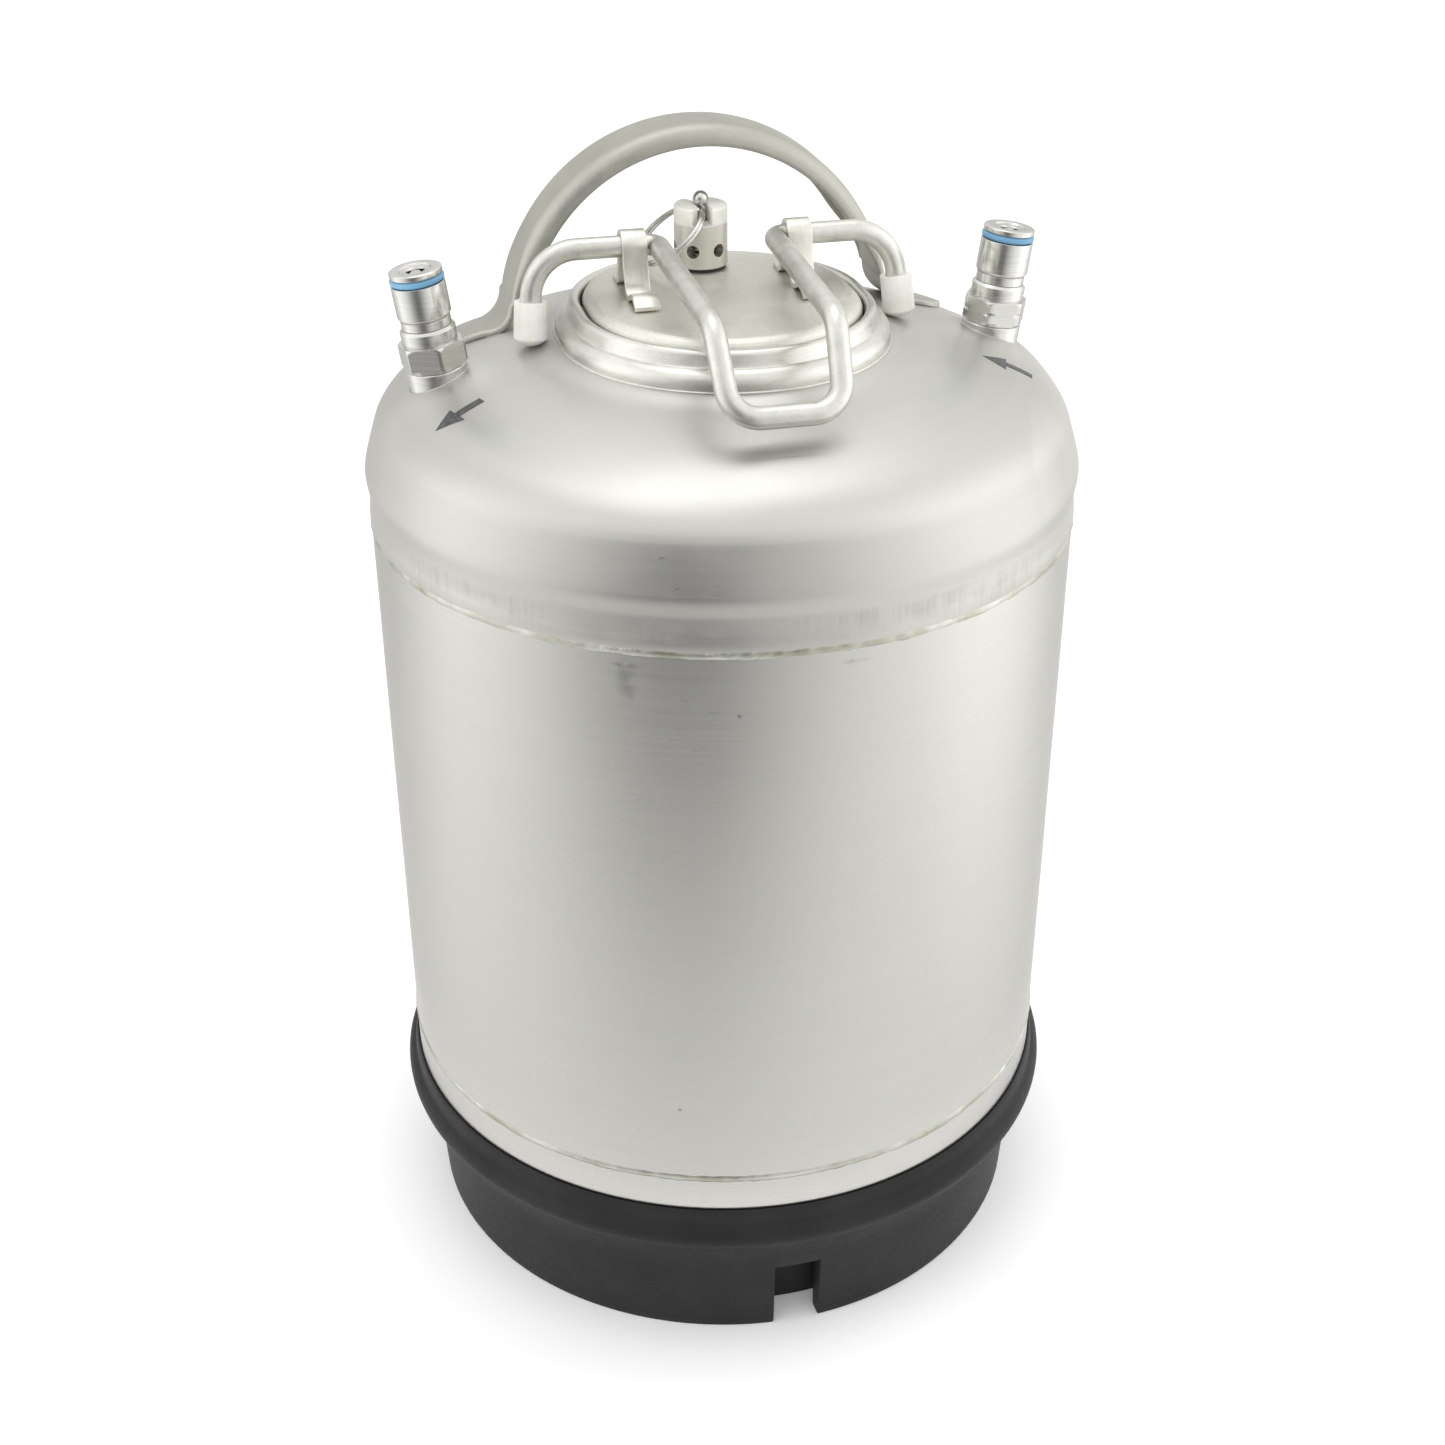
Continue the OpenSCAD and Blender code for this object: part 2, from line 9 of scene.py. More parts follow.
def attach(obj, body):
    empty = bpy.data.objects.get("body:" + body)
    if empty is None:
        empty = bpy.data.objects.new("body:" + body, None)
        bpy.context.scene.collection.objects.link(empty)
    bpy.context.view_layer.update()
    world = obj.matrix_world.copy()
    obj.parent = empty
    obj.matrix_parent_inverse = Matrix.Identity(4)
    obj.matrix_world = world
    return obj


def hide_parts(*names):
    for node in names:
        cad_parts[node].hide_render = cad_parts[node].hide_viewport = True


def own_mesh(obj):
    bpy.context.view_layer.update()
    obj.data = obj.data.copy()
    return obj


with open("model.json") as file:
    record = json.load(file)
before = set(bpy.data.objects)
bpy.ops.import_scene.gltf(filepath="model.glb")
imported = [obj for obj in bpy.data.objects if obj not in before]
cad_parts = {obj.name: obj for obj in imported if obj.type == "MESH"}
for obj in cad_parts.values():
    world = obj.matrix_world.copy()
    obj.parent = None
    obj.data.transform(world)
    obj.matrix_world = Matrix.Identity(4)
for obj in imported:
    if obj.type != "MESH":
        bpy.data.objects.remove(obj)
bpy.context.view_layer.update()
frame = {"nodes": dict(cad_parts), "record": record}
scene = bpy.context.scene

# ------------------------------------------------------------------ sizes, in millimetres and degrees
MM = 0.001

# the shell: wall, girth welds, curved top and lower end
BODY_R, WALL = 108.0, 1.2
LOW_WELD_Z, HIGH_WELD_Z = 69.0, 251.5
SHOULDER_Z, CROWN_Z, DOME_R, DOME_POWER = 274.0, 306.0, 106.0, 2.4
END_Z, BOTTOM_Z = 52.0, 16.0
NECK_RISE, POST_RISE = 1.5, 2.0

# the hatch: an oval of two half rounds, MOUTH_RUN apart
MOUTH_R, MOUTH_RUN, LIP_Z, NECK_R, NECK_WALL = 41.2, 9.6, 315.0, 49.0, 1.2
LID_Z = 316.6

# the boot and its drain notches
NOTCH_ANGLES, NOTCH_W, NOTCH_Z = (-90, 30, 150), 15.0, 26.0

# the handle: radius of the arch, middle of the strip, and the inner bend of its feet
HANDLE_R, HANDLE_Y, HANDLE_Z, HANDLE_W = 60.0, 36.5, 299.3, 23.0
HANDLE_T, FLANGE, FOOT_BEND, FOOT_TIP_X, FOOT_ROUND_X = 2.0, 6.2, 8.0, 80.0, 72.0

# the posts, each on a plug square to the sloping top
POST_X, POST_Z, POST_TILT, POST_H = 85.1, 297.6, 7.6, 32.9
BARREL_R, HEX_AF, PLUG_R = 7.9, 17.5, 8.9
HEX_LOW, HEX_HIGH, HEX_CORNER_R = 3.9, 11.4, 9.98
GAS_GROOVE_Z, GAS_GROOVE_R, GAS_GROOVE_AT = 7.6, 0.45, 9.75
LIQUID_HEX_TURN = -20

# the springs: wire, coil and the two heights that each stands between
POST_COIL_R, POST_WIRE_R, POST_TURNS = 3.3, 0.4, 5
POST_SPRING_LOW, POST_SPRING_HIGH, POST_TRAVEL = 11.2, 21.4, 3.0
RELIEF_COIL_R, RELIEF_WIRE_R, RELIEF_TURNS = 3.6, 0.45, 6
RELIEF_LOW, RELIEF_HIGH, RELIEF_TRAVEL = 315.7, 327.2, 2.5

# the bail, its brackets and the relief valve's ring
BAIL_R, BAIL_Y, BAIL_Z = 3.175, 8.0, 330.0
LEG_LEAN, LEG_SPLAY, LEG_LEN, FOOT_X, ARM_X = 8.0, 5.0, 27.0, 57.1, 17.6
ARM_BEND_Y, ARM_BEND_Z, BAR_Y, BAR_Z = -61.5, 327.3, -76.5, 306.0
BRACKET_X, BRACKET_W, BRACKET_T, BRACKET_GAP = 25.0, 7.5, 1.6, 0.06
PRV_Y, EYE_Z, RING_R, RING_WIRE_R, RING_SLOPE, RING_LEAN = 27.0, 334.5, 12.0, 0.55, 38.0, 6.0


# ------------------------------------------------------------------ mesh helpers
def make(name, points, faces, sharp=40):
    """A mesh object from points in millimetres, smooth-shaded except at corners over sharp degrees."""
    mesh = bpy.data.meshes.new(name)
    mesh.from_pydata([[c * MM for c in p] for p in points], [], faces)
    mesh.validate()
    bm = bmesh.new()
    bm.from_mesh(mesh)
    bmesh.ops.remove_doubles(bm, verts=bm.verts, dist=1e-7)
    bmesh.ops.recalc_face_normals(bm, faces=bm.faces)
    bm.to_mesh(mesh)
    bm.free()
    obj = bpy.data.objects.new(name, mesh)
    scene.collection.objects.link(obj)
    mesh.shade_smooth()
    mesh.set_sharp_from_angle(angle=math.radians(sharp))
    return obj


def loft(name, rows, loop=False, caps=False, sharp=40):
    """Quads between closed rows of points. loop joins the last row to the first, caps closes both."""
    count = len(rows[0])
    points = [p for row in rows for p in row]
    faces = []
    for i in range(len(rows) if loop else len(rows) - 1):
        nxt = (i + 1) % len(rows)
        for j in range(count):
            k = (j + 1) % count
            faces.append([i * count + j, i * count + k, nxt * count + k, nxt * count + j])
    if caps:
        faces.append(list(range(count)))
        faces.append([(len(rows) - 1) * count + j for j in range(count)])
    return make(name, points, faces, sharp)


def arc(cx, cy, r, a0, a1, steps):
    """Points on a circular arc, from angle a0 to a1 in degrees."""
    return [(cx + r * math.cos(math.radians(a0 + (a1 - a0) * i / steps)),
             cy + r * math.sin(math.radians(a0 + (a1 - a0) * i / steps))) for i in range(steps + 1)]


def soften(points, rounds):
    """Corner cutting, which turns an outline with corners into a smooth one."""
    for _ in range(rounds):
        out = [points[0]]
        for a, b in zip(points, points[1:]):
            a, b = Vector(a), Vector(b)
            out += [tuple(a.lerp(b, 0.25)), tuple(a.lerp(b, 0.75))]
        points = out + [points[-1]]
    return points


def fillet(points, radius, steps=4, closed=True):
    """An outline with each corner rounded by radius, as far as its sides allow."""
    nearly_straight, most_of_side = math.radians(160), 0.45
    out = []
    count = len(points)
    for i, p in enumerate(points):
        if not closed and i in (0, count - 1):
            out.append(tuple(p))
            continue
        here = Vector(p)
        to_a, to_b = Vector(points[i - 1]) - here, Vector(points[(i + 1) % count]) - here
        if to_a.length < 1e-6 or to_b.length < 1e-6:
            continue
        angle = to_a.angle(to_b)
        if angle > nearly_straight:
            out.append(tuple(p))
            continue
        cut = min(radius / math.tan(angle / 2), to_a.length * most_of_side, to_b.length * most_of_side)
        a, b = here + to_a.normalized() * cut, here + to_b.normalized() * cut
        for s in range(steps + 1):
            t = s / steps
            out.append(tuple(a.lerp(here, t).lerp(here.lerp(b, t), t)))
    return out


def lathe(name, outline, columns, stray=None):
    """An outline of (radius, height) turned round the Z axis. stray moves a point outwards."""
    rows = []
    for r, z in outline:
        row = []
        for j in range(columns):
            a = 2 * math.pi * j / columns
            out = stray(r, z, a) if stray else 0
            row.append(((r + out) * math.cos(a), (r + out) * math.sin(a), z))
        rows.append(row)
    return loft(name, rows, loop=True)


def oval_sweep(name, outline, steps, sharp):
    """An outline of (radius, height) swept round the hatch's oval, with steps to each half round."""
    half = MOUTH_RUN / 2
    turns = ([(math.pi * i / steps, half) for i in range(steps + 1)]
             + [(math.pi + math.pi * i / steps, -half) for i in range(steps + 1)])
    rows = [[(r * math.cos(a), r * math.sin(a) + offset, z) for a, offset in turns] for r, z in outline]
    return loft(name, rows, loop=True, sharp=sharp)


def wire_path(points, bends, step_deg):
    """Points along a path of straights and arcs, with a bend radius at each inner point."""
    points = [Vector(p) for p in points]
    path = [points[0]]
    for i, bend in enumerate(bends, start=1):
        a, b, c = points[i - 1], points[i], points[i + 1]
        into, out = (a - b).normalized(), (c - b).normalized()
        half = (math.pi - into.angle(out)) / 2
        centre = b + (into + out).normalized() * bend / math.cos(half)
        start = b + into * bend * math.tan(half)
        e1, e2 = (start - centre).normalized(), (b - a).normalized()
        steps = max(4, round(math.degrees(2 * half) / step_deg))
        path += [centre + bend * (e1 * math.cos(2 * half * s / steps)
                                  + e2 * math.sin(2 * half * s / steps)) for s in range(steps + 1)]
    return path + [points[-1]]


def tube(name, path, radius, sides):
    """A round wire along a path of vectors, carried along it without twisting."""
    rows = []
    normal = None
    for i, p in enumerate(path):
        before, after = path[max(i - 1, 0)], path[min(i + 1, len(path) - 1)]
        heading = (after - before).normalized()
        if normal is None:
            normal = heading.orthogonal().normalized()
        normal = (normal - heading * normal.dot(heading)).normalized()
        other = heading.cross(normal)
        rows.append([p + radius * (normal * math.cos(2 * math.pi * k / sides)
                                   + other * math.sin(2 * math.pi * k / sides))
                     for k in range(sides)])
    return loft(name, rows, caps=True, sharp=60)


def bevel(obj, width, segments, angle):
    """Rounds the edges of obj over angle degrees by width millimetres, and puts it into the mesh."""
    modifier = obj.modifiers.new("bevel", "BEVEL")
    modifier.width, modifier.segments = width * MM, segments
    modifier.limit_method, modifier.angle_limit = "ANGLE", math.radians(angle)
    graph = bpy.context.evaluated_depsgraph_get()
    mesh = bpy.data.meshes.new_from_object(obj.evaluated_get(graph))
    obj.modifiers.clear()
    obj.data = mesh
    mesh.shade_smooth()
    mesh.set_sharp_from_angle(angle=math.radians(40))
    return obj


def wobble(x, y, z, scale, seed):
    """Smooth noise from -1 to 1 over lengths of about scale millimetres."""
    return noise.noise(Vector((x / scale + seed, y / scale - seed, z / scale + 2 * seed)))


def crown(r, t=0.0):
    """Height of the curved top at radius r, moved in by t."""
    share = min(1.0, r / (DOME_R - t)) ** DOME_POWER
    return SHOULDER_Z + (CROWN_Z - t - SHOULDER_Z) * max(0.0, 1 - share) ** (1 / DOME_POWER)


# ------------------------------------------------------------------ materials
class Nodes:
    """A short way to write a node material."""

    def __init__(self, name, metal=False):
        self.material = bpy.data.materials.new(name)
        self.material.use_nodes = True
        self.tree = self.material.node_tree
        self.shader = self.tree.nodes["Principled BSDF"]
        self.coords = self.tree.nodes.new("ShaderNodeTexCoord").outputs["Object"]
        if metal:
            self.shader.inputs["Metallic"].default_value = 1.0
            self.shader.inputs["Specular Tint"].default_value = (0.78, 0.78, 0.78, 1)

    def add(self, kind, inputs=None, **settings):
        node = self.tree.nodes.new("ShaderNode" + kind)
        for key, value in settings.items():
            setattr(node, key, value)
        for key, value in (inputs or {}).items():
            self.plug(value, node.inputs[key])
        return node

    def plug(self, value, socket):
        if isinstance(value, bpy.types.NodeSocket):
            self.tree.links.new(value, socket)
        else:
            socket.default_value = value

    def math(self, operation, a, b=0.0, clamp=False):
        return self.add("Math", {0: a, 1: b}, operation=operation, use_clamp=clamp).outputs[0]

    def scaled(self, x, y, z, turn=(0, 0, 0)):
        node = self.add("Mapping", {"Vector": self.coords, "Rotation": turn, "Scale": (x, y, z)})
        return node.outputs[0]

    def noise(self, vector, scale, detail=4.0, rough=0.55):
        return self.add("TexNoise", {"Vector": vector, "Scale": scale, "Detail": detail,
                                     "Roughness": rough}).outputs["Fac"]

    def ramp(self, value, low, high, out_low=0.0, out_high=1.0):
        return self.add("MapRange", {"Value": value, "From Min": low, "From Max": high,
                                     "To Min": out_low, "To Max": out_high}).outputs[0]

    def mix(self, share, a, b):
        # a colour Mix node has its factor in socket 0, its colours in 6 and 7 and its result in 2
        node = self.add("Mix", data_type="RGBA")
        for socket, value in ((0, share), (6, a), (7, b)):
            self.plug(value, node.inputs[socket])
        return node.outputs[2]

    def total(self, *values):
        result = values[0]
        for value in values[1:]:
            result = self.math("ADD", result, value)
        return result

    def position(self):
        """x, y, z and the distance from the Z axis."""
        x, y, z = self.add("SeparateXYZ", {"Vector": self.coords}).outputs
        squares = self.total(self.math("MULTIPLY", x, x), self.math("MULTIPLY", y, y))
        return x, y, z, self.math("SQRT", squares)

    def stretched_noise(self, x, y, z, scales, detail, rough):
        """Noise over a point that is scaled by one amount round the axis and by another across it."""
        round_it, across_it = scales
        point = self.add("CombineXYZ", {0: self.math("MULTIPLY", x, round_it),
                                        1: self.math("MULTIPLY", y, round_it),
                                        2: self.math("MULTIPLY", z, across_it)}).outputs[0]
        return self.noise(point, 1.0, detail, rough)

    def finish(self, colour, roughness, height, strength, distance, rounding=0.0):
        """Connects the look, with a bump from height and with edges rounded by rounding millimetres."""
        self.plug(colour, self.shader.inputs["Base Color"])
        self.plug(roughness, self.shader.inputs["Roughness"])
        bump = self.add("Bump", {"Strength": strength, "Distance": distance, "Height": height})
        if rounding:
            edge = self.add("Bevel", {"Radius": rounding * MM}, samples=4)
            self.plug(edge.outputs[0], bump.inputs["Normal"])
        self.plug(bump.outputs[0], self.shader.inputs["Normal"])
        return self.material


def grey(value, warm):
    """A grey that loses a share warm of its blue."""
    return (value, value * (1 - 0.12 * warm), value * (1 - warm), 1)


def scratches(n, density):
    """Thin sparse scratches in three directions, 0 to 1."""
    total = 0.0
    for i, turn in enumerate((0.3, 1.3, 2.2)):
        lines = n.noise(n.scaled(12, 900, 900, turn=(0.4 * i, turn, turn * 1.7)), 1.0, 2.0, 0.4)
        mask = n.noise(n.coords, 22.0 + 7 * i, 1.0)
        mark = n.math("MULTIPLY", n.ramp(lines, density, density + 0.06), n.ramp(mask, 0.5, 0.62))
        total = n.math("MAXIMUM", mark, total)
    return total


def ground_band(n, z, ground_z):
    """Where the band beside a weld is ground across its seam, and the strokes in it, 0 to 1 each."""
    low, high = (h * MM for h in ground_z)
    band = n.math("MULTIPLY", n.ramp(z, low, low + 0.0006), n.ramp(z, high, high - 0.002))
    strokes = n.noise(n.scaled(950, 950, 45), 1.0, 4.0, 0.6)
    patches = n.ramp(n.noise(n.scaled(30, 30, 90), 1.0, 3.0), 0.42, 0.62)
    return n.math("MULTIPLY", band, patches), strokes


def stain(n, angle, height, half_wide, half_tall):
    """A soft spot on the wall with a ragged edge, 0 to 1."""
    centre = (BODY_R * MM * math.cos(math.radians(angle)), BODY_R * MM * math.sin(math.radians(angle)),
              height * MM)
    offset = n.add("VectorMath", {0: n.coords, 1: centre}, operation="SUBTRACT").outputs[0]
    scale = (1 / half_wide / MM, 1 / half_wide / MM, 1 / half_tall / MM)
    offset = n.add("VectorMath", {0: offset, 1: scale}, operation="MULTIPLY").outputs[0]
    away = n.add("VectorMath", {0: offset}, operation="LENGTH").outputs["Value"]
    return n.math("MULTIPLY", n.ramp(away, 1.0, 0.35), n.ramp(n.noise(n.coords, 260.0, 4.0), 0.3, 0.55))


def shell_steel(name, value, rough, grain_amount=0.10, ground_z=None, smudges=(), mottle=1.0):
    """Rolled or spun stainless sheet: fine grain round the axis, clouds, stains and scratches."""
    n = Nodes(name, metal=True)
    x, y, z, radius = n.position()
    # height less radius grows across the grain on the wall and on the top alike
    across = n.math("SUBTRACT", z, radius)
    grain = n.stretched_noise(x, y, across, (9.0, 1500.0), 5.0, 0.65)
    streak = n.stretched_noise(x, y, across, (5.0, 160.0), 3.0, 0.6)
    cloud = n.noise(n.coords, 17.0, 5.0, 0.6)
    speck = n.noise(n.coords, 700.0, 2.0, 0.5)
    marks = scratches(n, 0.68)
    tone = n.total(n.ramp(cloud, 0.3, 0.7, -0.022 * mottle, 0.022 * mottle),
                   n.ramp(grain, 0.25, 0.75, -0.045, 0.045),
                   n.ramp(streak, 0.3, 0.7, -0.02, 0.02),
                   n.ramp(speck, 0.3, 0.7, -0.02, 0.02))
    tone = n.math("ADD", tone, 0.5, clamp=True)
    colour = n.mix(tone, grey(value - 0.13, 0.07), grey(value + 0.13, 0.045))
    roughness = n.total(n.ramp(cloud, 0.3, 0.7, rough - 0.03 * mottle, rough + 0.03 * mottle),
                        n.ramp(grain, 0.3, 0.7, -grain_amount / 2, grain_amount / 2))
    roughness = n.math("SUBTRACT", roughness, n.math("MULTIPLY", marks, 0.10))
    if ground_z:
        band, strokes = ground_band(n, z, ground_z)
        colour = n.mix(n.math("MULTIPLY", band, n.ramp(strokes, 0.35, 0.7, 0.0, 0.24)), colour,
                       grey(value - 0.20, 0.12))
        roughness = n.total(roughness, n.math("MULTIPLY", band, n.ramp(strokes, 0.3, 0.7, 0.0, 0.2)))
    for *spot, strength in smudges:
        colour = n.mix(n.math("MULTIPLY", stain(n, *spot), strength), colour, grey(value - 0.34, 0.12))
    height = n.total(grain, n.math("MULTIPLY", marks, -0.8))
    n.shader.inputs["Anisotropic"].default_value = 0.45
    tangent = n.add("Tangent", direction_type="RADIAL", axis="Z")
    n.plug(tangent.outputs[0], n.shader.inputs["Tangent"])
    return n.finish(colour, roughness, height, 0.12, 0.00005)


def weld_steel():
    """Rough weld metal, bright on its ripples and dull between them."""
    n = Nodes("weld_steel", metal=True)
    pits = n.noise(n.coords, 900.0, 4.0, 0.7)
    tint = n.noise(n.coords, 60.0, 3.0, 0.6)
    colour = n.mix(n.ramp(tint, 0.35, 0.65), grey(0.44, 0.20), grey(0.68, 0.07))
    return n.finish(colour, n.ramp(pits, 0.3, 0.7, 0.28, 0.50), pits, 0.5, 0.0003)


def plain_steel(name, value, rough, stretch=(1, 1, 1), warm=0.05, rounding=0.0, bump=0.12, vary=0.06):
    """Stainless with a fine grain that runs along the axis with the smallest stretch."""
    n = Nodes(name, metal=True)
    grain = n.noise(n.scaled(*(260 * s for s in stretch)), 1.0, 5.0, 0.65)
    cloud = n.noise(n.coords, 55.0, 4.0, 0.6)
    speck = n.noise(n.coords, 1500.0, 2.0, 0.5)
    marks = scratches(n, 0.66)
    tone = n.total(n.ramp(grain, 0.3, 0.7, 0.28, 0.72), n.ramp(cloud, 0.3, 0.7, -0.2, 0.2))
    tone = n.math("ADD", tone, n.ramp(speck, 0.3, 0.7, -0.1, 0.1), clamp=True)
    colour = n.mix(tone, grey(value - vary, warm + 0.02), grey(value + vary, warm))
    roughness = n.total(n.ramp(cloud, 0.3, 0.7, rough - 0.04, rough + 0.04),
                        n.ramp(grain, 0.3, 0.7, -0.05, 0.05))
    roughness = n.math("SUBTRACT", roughness, n.math("MULTIPLY", marks, 0.08))
    height = n.total(grain, n.math("MULTIPLY", speck, 0.4))
    return n.finish(colour, roughness, height, bump, 0.0001, rounding)


def turned_steel(name, value, rough, rounding):
    """Machined stainless: fine rings from the tool, nearly polished."""
    n = Nodes(name, metal=True)
    rings = n.noise(n.scaled(30, 30, 2600), 1.0, 3.0, 0.5)
    cloud = n.noise(n.coords, 120.0, 3.0, 0.5)
    colour = n.mix(n.ramp(rings, 0.3, 0.7), grey(value - 0.05, 0.05), grey(value + 0.05, 0.03))
    roughness = n.total(n.ramp(cloud, 0.3, 0.7, rough - 0.03, rough + 0.04),
                        n.ramp(rings, 0.3, 0.7, -0.03, 0.03))
    return n.finish(colour, roughness, rings, 0.08, 0.00004, rounding)


def rubber(name, colour, rough, spec=0.4):
    """Moulded rubber with a fine matte skin and dusty clouds."""
    n = Nodes(name)
    n.shader.inputs["Specular IOR Level"].default_value = spec
    skin = n.noise(n.coords, 900.0, 3.0, 0.6)
    cloud = n.noise(n.coords, 30.0, 5.0, 0.6)
    light = tuple(c * 1.45 + 0.004 for c in colour[:3]) + (1,)
    base = n.mix(n.ramp(cloud, 0.38, 0.68, 0.0, 0.8), colour, light)
    return n.finish(base, n.ramp(skin, 0.3, 0.7, rough - 0.07, rough + 0.07), skin, 0.25, 0.00015)


def nylon_material():
    """Translucent white moulded nylon."""
    n = Nodes("white_nylon")
    cloud = n.noise(n.coords, 160.0, 3.0, 0.5)
    skin = n.noise(n.coords, 1200.0, 2.0, 0.5)
    colour = n.mix(n.ramp(cloud, 0.35, 0.65), (0.82, 0.82, 0.74, 1), (0.93, 0.93, 0.87, 1))
    n.shader.inputs["Subsurface Weight"].default_value = 0.5
    n.shader.inputs["Subsurface Radius"].default_value = (0.004, 0.004, 0.003)
    n.shader.inputs["Subsurface Scale"].default_value = 0.6
    return n.finish(colour, n.ramp(skin, 0.3, 0.7, 0.34, 0.46), skin, 0.1, 0.0001, 0.35)


def label_material():
    """A dark printed film with a faint unevenness in its ink."""
    n = Nodes("label_film")
    ink = n.noise(n.coords, 900.0, 3.0, 0.6)
    colour = n.mix(n.ramp(ink, 0.4, 0.75), (0.035, 0.036, 0.04, 1), (0.13, 0.13, 0.13, 1))
    return n.finish(colour, n.ramp(ink, 0.3, 0.7, 0.35, 0.5), ink, 0.1, 0.00005)


# stains and specks on the wall: direction, height, half width, half height, strength
SMUDGES = [(-117.3, 242.5, 3.4, 9.0, 0.45), (-117.3, 247.2, 4.4, 1.0, 0.6),
           (-101.0, 233.0, 0.8, 0.8, 0.8), (-110.5, 96.0, 0.9, 0.9, 0.9), (-84.0, 246.8, 5.0, 0.9, 0.4)]

MATERIAL = {
    "shell_steel": shell_steel("shell_steel", 0.62, 0.31, smudges=SMUDGES),
    "dome_steel": shell_steel("dome_steel", 0.60, 0.39, 0.05, ground_z=(252.4, 262.5), mottle=2.0),
    "weld_steel": weld_steel(),
    "handle_steel": plain_steel("handle_steel", 0.48, 0.50, (1, 5, 1), 0.10, bump=0.15),
    "lid_steel": plain_steel("lid_steel", 0.76, 0.48, (3, 3, 1), 0.08, 0.3, bump=0.2, vary=0.09),
    "neck_steel": plain_steel("neck_steel", 0.74, 0.36, (1, 1, 4), 0.06, 0.3, vary=0.09),
    "prv_steel": plain_steel("prv_steel", 0.80, 0.44, (1, 1, 4), 0.08, 0.2),
    "bracket_steel": plain_steel("bracket_steel", 0.80, 0.40, (3, 1, 1), 0.08, vary=0.10, bump=0.2),
    "bail_steel": plain_steel("bail_steel", 0.70, 0.36, warm=0.06, bump=0.14, vary=0.13),
    "post_steel": turned_steel("post_steel", 0.70, 0.17, 0.25),
    "tube_steel": turned_steel("tube_steel", 0.66, 0.22, 0.0),
    "spring_steel": plain_steel("spring_steel", 0.62, 0.25),
    "boot_rubber": rubber("boot_rubber", (0.012, 0.012, 0.0125, 1), 0.55, 0.25),
    "seal_rubber": rubber("seal_rubber", (0.012, 0.012, 0.012, 1), 0.42),
    "blue_rubber": rubber("blue_rubber", (0.125, 0.28, 0.42, 1), 0.40),
    "nylon": nylon_material(),
    "label_film": label_material(),
}


def piece(obj, material, body, *nodes):
    """Gives obj its material, rides it on body, and hides the CAD nodes that it stands for."""
    obj.data.materials.clear()
    obj.data.materials.append(MATERIAL[material])
    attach(obj, body)
    if nodes:
        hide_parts(*nodes)
    return obj


# the CAD nodes that stay get the material of their own slot, apart from the relief valve's duller body
for row in frame["record"]["subparts"]:
    node = frame["nodes"][row["node"]]
    material = "prv_steel" if row["node"] == "prv_body" else row["material_slot"]
    node.data.materials.clear()
    node.data.materials.append(MATERIAL[material])


# ------------------------------------------------------------------ shell
def dent(r, z, a):
    """How far the sheet strays from a true shape: a fraction of a millimetre over a hand's width."""
    x, y = r * math.cos(a), r * math.sin(a)
    return 0.10 * wobble(x, y, z, 70, 3.1) + 0.05 * wobble(x, y, z, 32, 7.7)


heights = [LOW_WELD_Z + (HIGH_WELD_Z - LOW_WELD_Z) * i / 60 for i in range(61)]
wall = [(BODY_R, z) for z in heights] + [(BODY_R - WALL, z) for z in reversed(heights)]
piece(lathe("shell_wall", wall, 256, dent), "shell_steel", "keg", "shell_cylinder")


def end_face(t):
    """Outline of the lower end, moved in by t, from the lower weld to the axis."""
    curve = [((BODY_R - t) * math.cos(math.radians(90 * i / 32)),
              END_Z - (END_Z - BOTTOM_Z - t) * math.sin(math.radians(90 * i / 32))) for i in range(32)]
    return [(BODY_R - t, LOW_WELD_Z)] + curve + [(0.01, BOTTOM_Z + t)]


piece(lathe("lower_end", end_face(0.0) + end_face(WALL)[::-1], 192), "shell_steel", "keg", "bottom_dome")


def oval_radius(r, a):
    """Distance from the axis to the hatch's oval of end radius r, in direction a."""
    half, c, s = MOUTH_RUN / 2, abs(math.cos(a)), abs(math.sin(a))
    if c > 1e-9 and r / c * s <= half:
        return r / c
    return half * s + math.sqrt(r * r - (half * c) ** 2)


def rise_to_neck(distance):
    """How far the top is drawn up beside the neck."""
    return NECK_RISE * math.exp(-(max(0.0, distance - NECK_WALL) / 4.5) ** 2)


def rise_to_post(x, y):
    """How far the top is drawn up round the posts."""
    near = min(math.hypot(x - POST_X, y), math.hypot(x + POST_X, y))
    return POST_RISE * math.exp(-(max(0.0, near - 8.0) / 8.0) ** 2)


